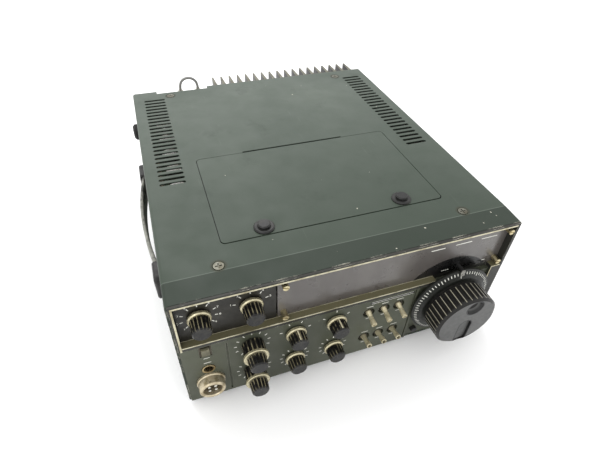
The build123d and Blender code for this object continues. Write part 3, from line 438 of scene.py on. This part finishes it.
def knob_look(name, ring_low, ring_high):
    """Black ribbed plastic with a broken pale-gold painted highlight along its rib crests, and a worn
    pale-gold plated ring between two depths.
    """
    look = Look(f"{name}_finish", specular=0.3)
    ring = look.between(look.axis("Y"), ring_low * MM, ring_high * MM)
    wear = look.spread(look.noise(420, 5, rough=0.65), 0.0, 1.0)
    gold_tone = look.mix(PALE_GOLD, (0.20, 0.16, 0.08), look.both(wear, 0.5))
    greyed = look.window(look.noise(300, 4), 0.45, 0.7)
    black = look.mix((0.004, 0.004, 0.004), (0.016, 0.015, 0.012), greyed)
    place = middle(name)
    # Painted highlight: a broken pale-gold line along each rib's crest, on the knob's sides.
    crest = look.between(look.rib_phase(place.x, place.z, KNOB_RIBS), 0.40, 0.60, 0.06)
    upright = look.inverse(look.window(look.math("ABSOLUTE", look.facing("Y")), 0.5, 0.8))
    rib_highlight = look.both(look.both(crest, upright), look.window(look.noise(150, 4), 0.40, 0.60))
    black = look.mix(black, (0.34, 0.30, 0.18), look.both(rib_highlight, 0.75))
    look.colour(look.mix(black, gold_tone, ring))
    look.metal(look.both(ring, 0.8))
    look.rough(look.spread(look.noise(350, 3), 0.24, 0.42))
    look.bump(look.noise(2600, 2), 0.12, 0.00005)
    return look.material


def dial_knob_look():
    """The main knob: black grip with a painted highlight along each rib, and a satin grey face with painted
    shade on the walls and rims of its recesses.
    """
    look = Look("main_knob_finish", specular=0.25)
    reach = look.radius(DIAL.x, DIAL.z)
    inside = look.inverse(look.window(reach, (FACE_R - 0.15) * MM, (FACE_R + 0.05) * MM))
    front = look.inverse(look.window(look.axis("Y"), (DIAL_LOW.y + 2.9) * MM, (DIAL_LOW.y + 3.1) * MM))
    face = look.both(inside, front)
    grey = look.mix((0.060, 0.061, 0.060), (0.085, 0.086, 0.083), look.spread(look.noise(70, 5), 0, 1))
    # Painted shade: the walls of the face's recesses, and rings round the edges of the pill and the dimple,
    # are darkened.
    wall = look.inverse(look.window(look.math("ABSOLUTE", look.facing("Y")), 0.62, 0.80))
    pill = look.capsule(DIAL.x, DIAL.z + PILL_Z, PILL_HALF)
    dimple = look.radius(DIAL.x + DIMPLE_PLACE[0], DIAL.z + DIMPLE_PLACE[1])
    round_pill = look.between(pill, (PILL_R - 0.2) * MM, (PILL_R + 0.8) * MM, 0.00015)
    round_dimple = look.between(dimple, (DIMPLE_R - 0.2) * MM, (DIMPLE_R + 0.8) * MM, 0.00015)
    outline = look.math("MAXIMUM", look.both(wall, 0.85), look.math("MAXIMUM", round_pill, round_dimple))
    grey = look.mix(grey, (0.012, 0.012, 0.012), outline)
    grip = look.mix((0.006, 0.006, 0.006), (0.016, 0.015, 0.013), look.noise(200, 3))
    # Painted highlight: a pale line along the crest of each rib of the grip, near its outer edge.
    crest = look.between(look.rib_phase(DIAL.x, DIAL.z, GRIP_RIBS), 0.45, 0.55, 0.03)
    outer = look.window(reach, (GRIP_R - 0.5) * MM, (GRIP_R - 0.3) * MM)
    along = look.window(look.axis("Y"), (DIAL_LOW.y + 1.4) * MM, (DIAL_LOW.y + 1.6) * MM)
    grip = look.mix(grip, (0.38, 0.36, 0.27), look.both(crest, look.both(outer, along)))
    look.colour(look.mix(grip, grey, face))
    look.rough(look.spread(look.noise(400, 3), 0.34, 0.48))
    look.bump(look.noise(2200, 2), 0.2, 0.00005)
    return look.material


def index_look():
    """The dial's pointer: a black arm with a bright tip."""
    look = Look("dial_index_finish")
    tip = look.inverse(look.window(look.axis("Y"), -4.8 * MM, -4.7 * MM))
    look.colour(look.mix((0.010, 0.010, 0.010), (0.72, 0.71, 0.66), tip))
    look.metal(look.both(tip, 0.8))
    look.rough(look.spread(look.noise(400, 3), 0.24, 0.42))
    return look.material


def lever_look(name, row_z, raised):
    """A toggle's lever in dulled pale plating, with painted shade darkening the hollow of its tip."""
    look = Look(f"{name}_finish", metallic=0.6)
    place = middle(name)
    front = extent(name)[0].y
    tip_z = row_z + raised * LEVER_RISE
    # Painted shade in the hollow of the tip.
    hollow = look.inverse(look.window(look.radius(place.x, tip_z), 1.15 * MM, 1.45 * MM))
    near_tip = look.inverse(look.window(look.axis("Y"), (front + 2.9) * MM, (front + 3.1) * MM))
    worn = look.window(look.noise(300, 5, rough=0.65), 0.45, 0.7)
    metal = look.mix((0.62, 0.56, 0.38), (0.36, 0.31, 0.18), worn)
    look.colour(look.mix(metal, (0.05, 0.04, 0.02), look.both(hollow, near_tip)))
    look.rough(look.spread(look.noise(350, 3), 0.28, 0.44))
    return look.material


def smoked_window_look():
    """Smoked acrylic, streaked with dust and almost opaque."""
    look = Look("smoked_window_finish")
    streaks = look.window(look.noise(45, 4, stretch=(1, 1, 0.4), rough=0.6), 0.40, 0.75)
    look.colour(look.mix((0.070, 0.063, 0.058), (0.100, 0.092, 0.083), streaks))
    look.rough(look.spread(look.noise(120, 5), 0.24, 0.40))
    look.shader.inputs["Alpha"].default_value = 0.97
    look.shader.inputs["Coat Weight"].default_value = 0.4
    look.shader.inputs["Coat Roughness"].default_value = 0.16
    look.bump(look.noise(700, 2), 0.05, 0.00004)
    return look.material


def heatsink_look():
    """Black-anodised fins whose sawn upper and lower ends show bare, yellowed aluminium; the pale upper ends
    also carry painted light where light falls on the fins' tops.
    """
    look = Look("heatsink_finish", metallic=0.3, specular=0.3)
    top = extent("heatsink")[1].z
    # Bare ends, which at the top also carry painted light for the lit tops of the fins.
    sawn_and_lit_ends = look.inverse(look.between(look.axis("Z"), 8.2 * MM, (top - 0.15) * MM))
    black = look.mix((0.008, 0.008, 0.007), (0.022, 0.022, 0.018), look.spread(look.noise(50, 5), 0, 1))
    bare = look.mix((0.09, 0.085, 0.062), (0.17, 0.165, 0.125), look.spread(look.noise(260, 4), 0, 1))
    worn = look.math("MAXIMUM", sawn_and_lit_ends, look.both(look.edges(0.0006, 0.05, 0.35), 0.6))
    look.colour(look.mix(black, bare, worn))
    look.rough(look.spread(look.noise(200, 4, stretch=(1, 1, 0.05)), 0.34, 0.52))
    look.bump(look.noise(900, 2, stretch=(1, 1, 0.04)), 0.25, 0.0001)
    return look.material


def connector_look():
    """The microphone connector: a dulled tan-silver ring, a black insert and bright pins."""
    look = Look("mic_connector_finish")
    place = middle("mic_connector")
    reach = look.radius(place.x, place.z)
    insert = look.inverse(look.window(reach, 6.31 * MM, 6.39 * MM))
    forward = look.inverse(look.window(look.axis("Y"), -0.75 * MM, -0.65 * MM))
    pin = look.both(forward, look.inverse(look.window(reach, 5.2 * MM, 5.3 * MM)))
    dulled = look.window(look.noise(180, 6, rough=0.7), 0.4, 0.65)
    ring = look.mix((0.56, 0.49, 0.35), (0.32, 0.26, 0.15), dulled)
    base = look.mix(ring, (0.012, 0.010, 0.008), insert)
    look.colour(look.mix(base, (0.85, 0.83, 0.75), pin))
    look.metal(look.math("MAXIMUM", look.both(look.inverse(insert), 0.7), pin))
    look.rough(look.spread(look.noise(300, 4), 0.24, 0.46))
    look.bump(look.noise(1500, 2), 0.15, 0.00006)
    return look.material


def strap_look():
    """Worn vinyl: grey-white grained skin, rubbed through to dark in patches."""
    look = Look("strap_finish")
    bare = look.window(look.noise(70, 7, stretch=(1, 0.6, 1), rough=0.75), 0.47, 0.56)
    skin = look.mix((0.19, 0.19, 0.165), (0.30, 0.30, 0.26), look.spread(look.noise(160, 5), 0, 1))
    look.colour(look.mix(skin, (0.035, 0.034, 0.030), look.both(bare, 0.9)))
    look.rough(look.spread(look.noise(120, 4), 0.5, 0.75))
    grain = look.node("ShaderNodeTexVoronoi")
    look.join(look.coordinates, grain.inputs["Vector"])
    grain.inputs["Scale"].default_value = 900
    look.bump(grain.outputs["Distance"], 0.6, 0.0002)
    return look.material


def board_look():
    """Green circuit board with paler tracks."""
    look = Look("board_finish")
    tracks = look.window(look.noise(240, 0, stretch=(1, 0.12, 1)), 0.5, 0.53)
    look.colour(look.mix((0.035, 0.075, 0.028), (0.07, 0.13, 0.05), tracks))
    look.bump(tracks, 0.3, 0.0001)
    look.rough(look.spread(look.noise(90, 3), 0.3, 0.5))
    return look.material


GREY_GREEN = ((0.092, 0.110, 0.091), (0.066, 0.083, 0.067))
SHADED_GREEN = (0.030, 0.043, 0.030)
PANEL_GREY = ((0.068, 0.074, 0.050), (0.040, 0.044, 0.030))
FRAME_GREY = ((0.028, 0.028, 0.023), (0.012, 0.012, 0.010))

covers = cover_look("covers_finish", True)
hatch_paint = cover_look("hatch_finish", False)
screw_steel = plated("screw_finish", (0.20, 0.20, 0.17), 0.38, dirt=0.5)
black_panel = plastic("knob_panel_finish", (0.013, 0.012, 0.009), (0.028, 0.026, 0.020), 0.42)
black_plastic = plastic("black_moulding", (0.010, 0.010, 0.010), (0.030, 0.029, 0.026), 0.38,
                        worn=(0.09, 0.09, 0.08))
rocker_plastic = plastic("rocker_moulding", (0.085, 0.080, 0.050), (0.16, 0.15, 0.10), 0.4,
                         worn=(0.26, 0.24, 0.16))
rubber = plastic("rubber_finish", (0.012, 0.012, 0.012), (0.035, 0.034, 0.032), 0.72)
skirt = plastic("skirt_finish", (0.005, 0.006, 0.004), (0.014, 0.015, 0.011), 0.45)
gold = plated("champagne_plating", CHAMPAGNE, 0.30)
tan_metal = plated("tan_plating", (0.45, 0.38, 0.24), 0.32)
dark_metal = plated("dark_metal", (0.10, 0.09, 0.07), 0.36)
silver = plated("silver_plating", (0.56, 0.55, 0.50), 0.28)
brass = plated("brass_finish", (0.60, 0.53, 0.33), 0.28)
steel = plated("steel_finish", (0.50, 0.50, 0.47), 0.34, brushed=(1, 0.1, 1))
aluminium = plated("passivated_finish", (0.40, 0.38, 0.30), 0.46, dirt=0.75)
can_metal = plated("can_finish", (0.66, 0.66, 0.63), 0.30)
lead_vinyl = plastic("lead_vinyl", (0.20, 0.20, 0.19), (0.30, 0.30, 0.28), 0.5)
white_ink = plastic("white_ink", (0.62, 0.62, 0.56), (0.80, 0.80, 0.74), 0.5)
pale_ink = plastic("pale_ink", (0.55, 0.50, 0.34), (0.70, 0.66, 0.50), 0.4)
trim_black = plastic("screen_black", (0.006, 0.006, 0.006), (0.014, 0.013, 0.012), 0.30)

NODE_LOOKS = {
    "top_cover": covers, "bottom_cover": covers, "access_hatch": hatch_paint, "cover_screws": screw_steel,
    "latch_grommets": black_plastic, "latch_plunger_left": black_plastic,
    "latch_plunger_right": black_plastic, "handle_strap": strap_look(), "handle_ends": black_plastic,
    "chassis_frames": steel, "chassis_plate": aluminium, "front_subpanel": steel, "rear_panel": aluminium,
    "front_panel": panel_look(), "bezel_frame": bezel_look(), "knob_panel": black_panel,
    "display_window": smoked_window_look(), "window_posts": brass, "dial_index": index_look(),
    "main_knob": dial_knob_look(), "dial_skirt": skirt, "dial_shaft": steel, "rotary_controls": dark_metal,
    # The toggle bodies take the dark metal as painted shade, so the holes round the levers' bases read dark.
    "toggle_bodies": dark_metal, "power_rocker": rocker_plastic, "lock_button": black_plastic,
    "phones_jack": tan_metal, "mic_connector": connector_look(), "meter_case": black_plastic,
    "meter_needle": trim_black, "digital_display": trim_black, "main_board": board_look(),
    "board_components": can_metal, "oscillator_box": steel, "speaker": rubber, "heatsink": heatsink_look(),
    "antenna_socket": silver, "power_inlet": black_plastic, "jack_block": silver,
    "ground_terminal": silver, "jumper_plugs": silver, "jumper_cable": lead_vinyl, "rubber_feet": rubber,
}

RING_T = 2.65
PLAIN_RING = (-0.8 - RING_T, -0.7)
UPPER_RING = (KNOB_PANEL_FACE - 0.8 - RING_T, KNOB_PANEL_FACE - 0.7)
OUTER_RING = (-0.8 - 10.7, -0.8 - 10.6 + 2.6)
NO_RING = (-0.8, -0.7)
KNOB_RINGS = {
    "band_knob": UPPER_RING, "meter_switch_knob": UPPER_RING,
    "mode_knob": PLAIN_RING, "vfo_switch_knob": PLAIN_RING, "rit_knob": PLAIN_RING, "shift_knob": PLAIN_RING,
    "upper_outer_knob": OUTER_RING, "lower_outer_knob": OUTER_RING,
    "upper_inner_knob": NO_RING, "lower_inner_knob": NO_RING,
}


def toggles():
    """Each toggle lever's name, the height of its row and the side it rests on: -1 down, 1 up."""
    for i in range(6):
        row = i // 3
        yield f"toggle_lever_{i + 1}", TOGGLE_ROWS[row], (-1, 1)[row]


def paint_nodes():
    looks = dict(NODE_LOOKS)
    for name, ring in KNOB_RINGS.items():
        looks[name] = knob_look(name, *ring)
    for name, row_z, side in toggles():
        looks[name] = lever_look(name, row_z, side)
    for name, node in nodes.items():
        node.data.materials.clear()
        node.data.materials.append(looks[name])
    jumper.data.materials.append(lead_vinyl)


paint_nodes()


# ---------------------------------------------------------------- detail pieces

class Piece:
    """A mesh gathered from small solids, given in the set frame in millimetres."""

    def __init__(self):
        self.mesh = bmesh.new()

    def add(self, corners, faces):
        verts = [self.mesh.verts.new(at(*c)) for c in corners]
        for face in faces:
            self.mesh.faces.new([verts[i] for i in face])

    def bar(self, x, y, z):
        corners = [(i, j, k) for k in z for j in y for i in x]
        faces = [(0, 2, 3, 1), (4, 5, 7, 6), (0, 1, 5, 4), (2, 6, 7, 3), (0, 4, 6, 2), (1, 3, 7, 5)]
        self.add(corners, faces)

    def plate(self, outline, y):
        """A prism along Y from an outline of (x, z) points."""
        count = len(outline)
        corners = [(x, y[0], z) for x, z in outline] + [(x, y[1], z) for x, z in outline]
        faces = [tuple(range(count)), tuple(reversed(range(count, 2 * count)))]
        faces += [(i, i + count, (i + 1) % count + count, (i + 1) % count) for i in range(count)]
        self.add(corners, faces)

    def tick(self, centre, angle, reach, width, y):
        """A radial mark on a face: angle is from straight up, clockwise from the front."""
        a = math.radians(angle)
        out = Vector((math.sin(a), math.cos(a)))
        side = Vector((out.y, -out.x)) * width / 2
        ends = [Vector(centre) + out * r for r in reach]
        outline = [ends[0] - side, ends[0] + side, ends[1] + side, ends[1] - side]
        self.plate([tuple(p) for p in outline], y)

    def finish(self, name, material, body, bevel=0.0):
        bmesh.ops.recalc_face_normals(self.mesh, faces=self.mesh.faces)
        data = bpy.data.meshes.new(name)
        self.mesh.to_mesh(data)
        self.mesh.free()
        data.materials.append(material)
        piece = bpy.data.objects.new(name, data)
        bpy.context.scene.collection.objects.link(piece)
        if bevel:
            rounding = piece.modifiers.new("rounding", "BEVEL")
            rounding.width = bevel * MM
            rounding.segments = 2
        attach(piece, body)
        return piece


INK = 0.06
SKIRT_TICKS = 72
SKIRT_FLAT = 1.2
TICK_W = 0.6
TICK_END = 30.5


def tick_length(i):
    """The dial's first mark is the longest, and every sixth is longer than the rest."""
    if i == 0:
        return 4.0
    return 2.6 if i % 6 == 0 else 1.8


def dial_ticks():
    """The scale on the skirt's bevel: each mark is a thin raised strip that follows the cone."""
    piece = Piece()
    inner_r = GRIP_R + 1.4
    rise = (SKIRT_HIGH.y - SKIRT_LOW.y) - SKIRT_FLAT
    slope = rise / (SKIRT_R - inner_r)
    for i in range(SKIRT_TICKS):
        a = 2 * math.pi * i / SKIRT_TICKS
        out = Vector((math.sin(a), 0, math.cos(a)))
        side = Vector((math.cos(a), 0, -math.sin(a))) * TICK_W / 2
        rows = []
        for r in (TICK_END, TICK_END - tick_length(i)):
            y = SKIRT_LOW.y + (r - inner_r) * slope
            rows.append(Vector((DIAL.x, y, DIAL.z)) + out * r)
        lift = Vector((0, INK, 0))
        outline = (rows[0] - side, rows[0] + side, rows[1] + side, rows[1] - side)
        corners = [c + lift for c in outline] + [c - lift for c in outline]
        walls = [(i, i + 4, (i + 1) % 4 + 4, (i + 1) % 4) for i in range(4)]
        piece.add(corners, [(0, 1, 2, 3), (7, 6, 5, 4)] + walls)
    piece.finish("dial_scale", white_ink, "main_dial")


# Each knob's name, the radius its marks start at, their number, and the sweep to either side in degrees.
KNOB_MARKS = [
    ("mode_knob", 9.4, 4, 75), ("vfo_switch_knob", 9.4, 3, 60), ("rit_knob", 9.0, 11, 140),
    ("shift_knob", 9.0, 11, 140), ("upper_outer_knob", 10.4, 11, 140), ("lower_outer_knob", 10.4, 11, 140),
]
PANEL_MARKS = [("band_knob", 9.6, 9, 132), ("meter_switch_knob", 9.6, 5, 75)]


def knob_legends():
    """Ticks round the knobs, short marks over and under the toggles, and one over the switch and the jack."""
    piece = Piece()
    for marks, face in ((KNOB_MARKS, 0.0), (PANEL_MARKS, KNOB_PANEL_FACE)):
        for name, radius, count, sweep in marks:
            place = middle(name)
            for i in range(count):
                angle = -sweep + 2 * sweep * i / (count - 1)
                reach = (radius, radius + 1.9)
                piece.tick((place.x, place.z), angle, reach, 0.6, (face - INK, face + INK))
    for name, row_z, _ in toggles():
        x = middle(name).x
        for rise, half in ((6.6, 2.6), (-6.4, 1.6)):
            z = row_z + rise
            piece.bar((x - half, x + half), (-INK, INK), (z - 0.25, z + 0.25))
    power = middle("power_rocker")
    piece.bar((power.x - 2, power.x + 2), (-INK, INK), (power.z - 7.4, power.z - 6.9))
    jack = middle("phones_jack")
    piece.bar((jack.x - 2.4, jack.x + 2.4), (-INK, INK), (jack.z + 7.0, jack.z + 7.5))
    piece.finish("panel_marks", white_ink, "radio")


DIGIT_H = 2.6


def band_numbers():
    """Plain numbers at the switch positions on the upper knob panel."""
    meshes = []
    for name, radius, count, sweep in PANEL_MARKS:
        place = middle(name)
        for i in range(count):
            angle = math.radians(-sweep + 2 * sweep * i / (count - 1))
            text = bpy.data.curves.new("number", "FONT")
            text.body = str(i + 1)
            text.size = DIGIT_H * MM
            text.align_x = "CENTER"
            text.align_y = "CENTER"
            text.extrude = INK * MM
            text.resolution_u = 2
            holder = bpy.data.objects.new("number", text)
            bpy.context.scene.collection.objects.link(holder)
            bpy.context.view_layer.update()
            evaluated = holder.evaluated_get(bpy.context.evaluated_depsgraph_get())
            data = bpy.data.meshes.new_from_object(evaluated)
            reach = radius + 3.2
            x = place.x + reach * math.sin(angle)
            z = place.z + reach * math.cos(angle)
            centre = at(x, KNOB_PANEL_FACE, z)
            data.transform(Matrix.Translation(centre) @ Matrix.Rotation(math.radians(90), 4, "X"))
            meshes.append(data)
            bpy.data.objects.remove(holder)
            bpy.data.curves.remove(text)
    gathered = bmesh.new()
    for data in meshes:
        gathered.from_mesh(data)
        bpy.data.meshes.remove(data)
    whole = bpy.data.meshes.new("switch_numbers")
    gathered.to_mesh(whole)
    gathered.free()
    whole.materials.append(white_ink)
    piece = bpy.data.objects.new("switch_numbers", whole)
    bpy.context.scene.collection.objects.link(piece)
    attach(piece, "radio")


NOTCH_X = 62.0
NOTCH_DROP = 5.0
LEG_X = 109.0
TRIM_W = 0.8
SIDE_TRIM_W = 1.2
TRIM_PROUD = 0.15


def bezel_trim():
    """The bright plated lines along the bezel's rails."""
    piece = Piece()
    face = BEZEL_LOW.y
    y = (face - TRIM_PROUD, face + 0.4)
    left = BEZEL_LOW.x + 2.2
    right = BEZEL_HIGH.x - 2.2
    top = BEZEL_HIGH.z - 2.6
    low = WINDOW_LOW.z - 0.2
    foot = low - 3.6
    inner = (WINDOW_LOW.y - 0.5, WINDOW_LOW.y - 0.05)
    piece.bar((left - SIDE_TRIM_W, right), y, (top, top + SIDE_TRIM_W))
    piece.bar((left - SIDE_TRIM_W, left), y, (foot, top))
    piece.bar((left, NOTCH_X), y, (low - TRIM_W, low + 0.05))
    piece.bar((left, NOTCH_X), inner, (low - 0.05, low + 0.3))
    piece.bar((NOTCH_X - TRIM_W, NOTCH_X), y, (low - TRIM_W - NOTCH_DROP, low - TRIM_W))
    piece.bar((LEG_X, LEG_X + TRIM_W), y, (1.0, low))
    piece.bar((LEG_X + TRIM_W, right), y, (low - TRIM_W, low + 0.05))
    piece.finish("bezel_trim", gold, "radio", bevel=0.12)


MASK_R = 39.0
MASK_STEPS = 28
# Each mark on the window: its middle, its half-width and its height in the set frame.
WINDOW_MARKS = [(59.5, 5.5, 92.8), (80.0, 6.5, 93.1), (101.0, 6.5, 93.1), (102.0, 3.6, 69.2)]


def window_print_and_reflection():
    """What is drawn on the window: a black field round the dial's top, a painted reflection of the dial knob
    in the glossy window, and short printed indicator marks.
    """
    face = WINDOW_LOW.y
    # Painted reflection: the black field stands for the dark reflection of the dial knob in the window.
    field = Piece()
    start = math.acos((WINDOW_LOW.z + 0.1 - DIAL.z) / MASK_R)
    arc = []
    for i in range(MASK_STEPS + 1):
        angle = -start + 2 * start * i / MASK_STEPS
        arc.append((DIAL.x - 3 + MASK_R * math.sin(angle), DIAL.z + MASK_R * math.cos(angle)))
    field.plate(arc, (face - INK, face + INK))
    field.finish("window_reflection_field", trim_black, "radio")
    marks = Piece()
    for x, half, z in WINDOW_MARKS:
        marks.bar((x - half, x + half), (face - INK, face + INK), (z - 0.35, z + 0.35))
    marks.bar((DIAL.x - 10.6, DIAL.x - 4.4), (face - 2 * INK, face), (68.2, 68.9))
    marks.finish("window_marks", white_ink, "radio")


NAME_STRIP_X = (11.5, 46.5)
NAME_STRIP_Z = 58.6


def name_strip():
    """A blank black strip with two pale lines on the lower panel, in place of a name."""
    strip = Piece()
    strip.bar(NAME_STRIP_X, (-0.12, INK), (NAME_STRIP_Z - 1.1, NAME_STRIP_Z + 1.1))
    strip.finish("blank_strip", trim_black, "radio", bevel=0.05)
    lines = Piece()
    for z in (NAME_STRIP_Z - 0.9, NAME_STRIP_Z + 0.7):
        lines.bar((NAME_STRIP_X[0] + 1, NAME_STRIP_X[1] - 1), (-0.18, 0), (z, z + 0.25))
    lines.finish("strip_lines", white_ink, "radio")


POINTER_TOP = 6.5


def pointer_lines():
    """A pale line along the pointer of each switch knob on the lower panel, which turns with it."""
    for name in ("mode_knob", "vfo_switch_knob"):
        place = middle(name)
        front = extent(name)[0].y
        top = place.z + POINTER_TOP
        piece = Piece()
        piece.bar((place.x - 0.45, place.x + 0.45), (front + 0.6, -3.7), (top - 0.1, top + 0.15))
        piece.finish(f"{name}_pointer", pale_ink, name, bevel=0.05)


def meter_scale():
    """The meter's pale card with its scale, behind the smoked window."""
    low, high = extent("meter_case")
    y = low.y + 3.6
    card = Piece()
    card.bar((low.x + 1.8, high.x - 1.8), (y, y + 0.3), (low.z + 7.5, high.z - 2.0))
    card.finish("meter_card", white_ink, "radio", bevel=0.05)
    scale = Piece()
    pivot = (middle("meter_case").x, extent("meter_needle")[0].z + 3.0)
    for i in range(16):
        scale.tick(pivot, -36 + 4.8 * i, (20.0, 22.4 if i % 5 else 23.4), 0.35, (y - 0.08, y + 0.01))
    scale.finish("meter_marks", trim_black, "radio")


STRAP_SECTIONS = 96
STRAP_RINGS = 24
STRAP_T = 3.2
STRAP_FLAT = 11.0


def strap_skin():
    """The carrying strap: a soft-edged, grooved band that bows out between its flat ends."""
    low, high = extent("handle_strap")
    half = (high.z - low.z) / 2
    z_mid = (high.z + low.z) / 2
    bow = (low.y + STRAP_FLAT, high.y - STRAP_FLAT)
    mid_y = (low.y + high.y) / 2
    sag = high.x - low.x - STRAP_T
    radius = ((bow[1] - bow[0]) ** 2 / 4 + sag ** 2) / (2 * sag)
    mesh = bmesh.new()
    rows = []
    for i in range(STRAP_SECTIONS + 1):
        y = low.y + (high.y - low.y) * i / STRAP_SECTIONS
        inside = bow[0] < y < bow[1]
        reach = math.sqrt(radius ** 2 - (y - mid_y) ** 2) - (radius - sag) if inside else 0.0
        x = high.x - STRAP_T / 2 - max(0.0, reach)
        row = []
        for j in range(STRAP_RINGS):
            a = 2 * math.pi * j / STRAP_RINGS
            across = math.copysign(abs(math.sin(a)) ** 0.35, math.sin(a))
            deep = math.copysign(abs(math.cos(a)) ** 0.55, math.cos(a))
            groove = 1.0 - 0.16 * math.exp(-((abs(across) - 0.55) / 0.3) ** 2)
            place = at(x - deep * STRAP_T / 2 * groove, y, z_mid + across * (half - 0.02))
            row.append(mesh.verts.new(place))
        rows.append(row)
    for first, second in zip(rows, rows[1:]):
        for j in range(STRAP_RINGS):
            k = (j + 1) % STRAP_RINGS
            mesh.faces.new((first[j], first[k], second[k], second[j]))
    mesh.faces.new(list(reversed(rows[0])))
    mesh.faces.new(rows[-1])
    bmesh.ops.recalc_face_normals(mesh, faces=mesh.faces)
    for face in mesh.faces:
        face.smooth = True
    data = bpy.data.meshes.new("strap_skin")
    mesh.to_mesh(data)
    mesh.free()
    data.materials.append(NODE_LOOKS["handle_strap"])
    strap = bpy.data.objects.new("strap_skin", data)
    bpy.context.scene.collection.objects.link(strap)
    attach(strap, "radio")
    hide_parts("handle_strap")


dial_ticks()
knob_legends()
band_numbers()
bezel_trim()
window_print_and_reflection()
name_strip()
pointer_lines()
meter_scale()
strap_skin()


# ---------------------------------------------------------------- surroundings

def make_floor():
    look = Look("floor_finish", roughness=0.9)
    look.colour(look.mix((0.92, 0.92, 0.92), (0.95, 0.95, 0.95), look.noise(2, 2)))
    mesh = bpy.data.meshes.new("floor")
    size = 6.0
    corners = [(-size, -size, 0), (size, -size, 0), (size, size, 0), (-size, size, 0)]
    mesh.from_pydata(corners, [], [(0, 1, 2, 3)])
    mesh.materials.append(look.material)
    floor = bpy.data.objects.new("floor", mesh)
    bpy.context.scene.collection.objects.link(floor)


def add_light(name, place, target, size, power):
    data = bpy.data.lights.new(name, "AREA")
    data.energy = power
    data.size = size
    light = bpy.data.objects.new(name, data)
    bpy.context.scene.collection.objects.link(light)
    light.location = place
    aim = Vector(target) - Vector(place)
    light.rotation_euler = aim.to_track_quat("-Z", "Y").to_euler()


def light_scene():
    world = bpy.data.worlds.new("studio")
    world.use_nodes = True
    world.node_tree.nodes["Background"].inputs["Color"].default_value = (1.0, 1.0, 1.0, 1.0)
    world.node_tree.nodes["Background"].inputs["Strength"].default_value = 1.28
    bpy.context.scene.world = world
    add_light("overhead", (-0.1, 0.8, 1.25), (0, 0.05, 0.1), 1.0, 9)
    add_light("front_left", (-0.9, -0.9, 0.9), (0, 0, 0.05), 0.9, 4)
    bpy.context.scene.view_settings.view_transform = "Standard"


make_floor()
light_scene()

bpy.context.view_layer.update()
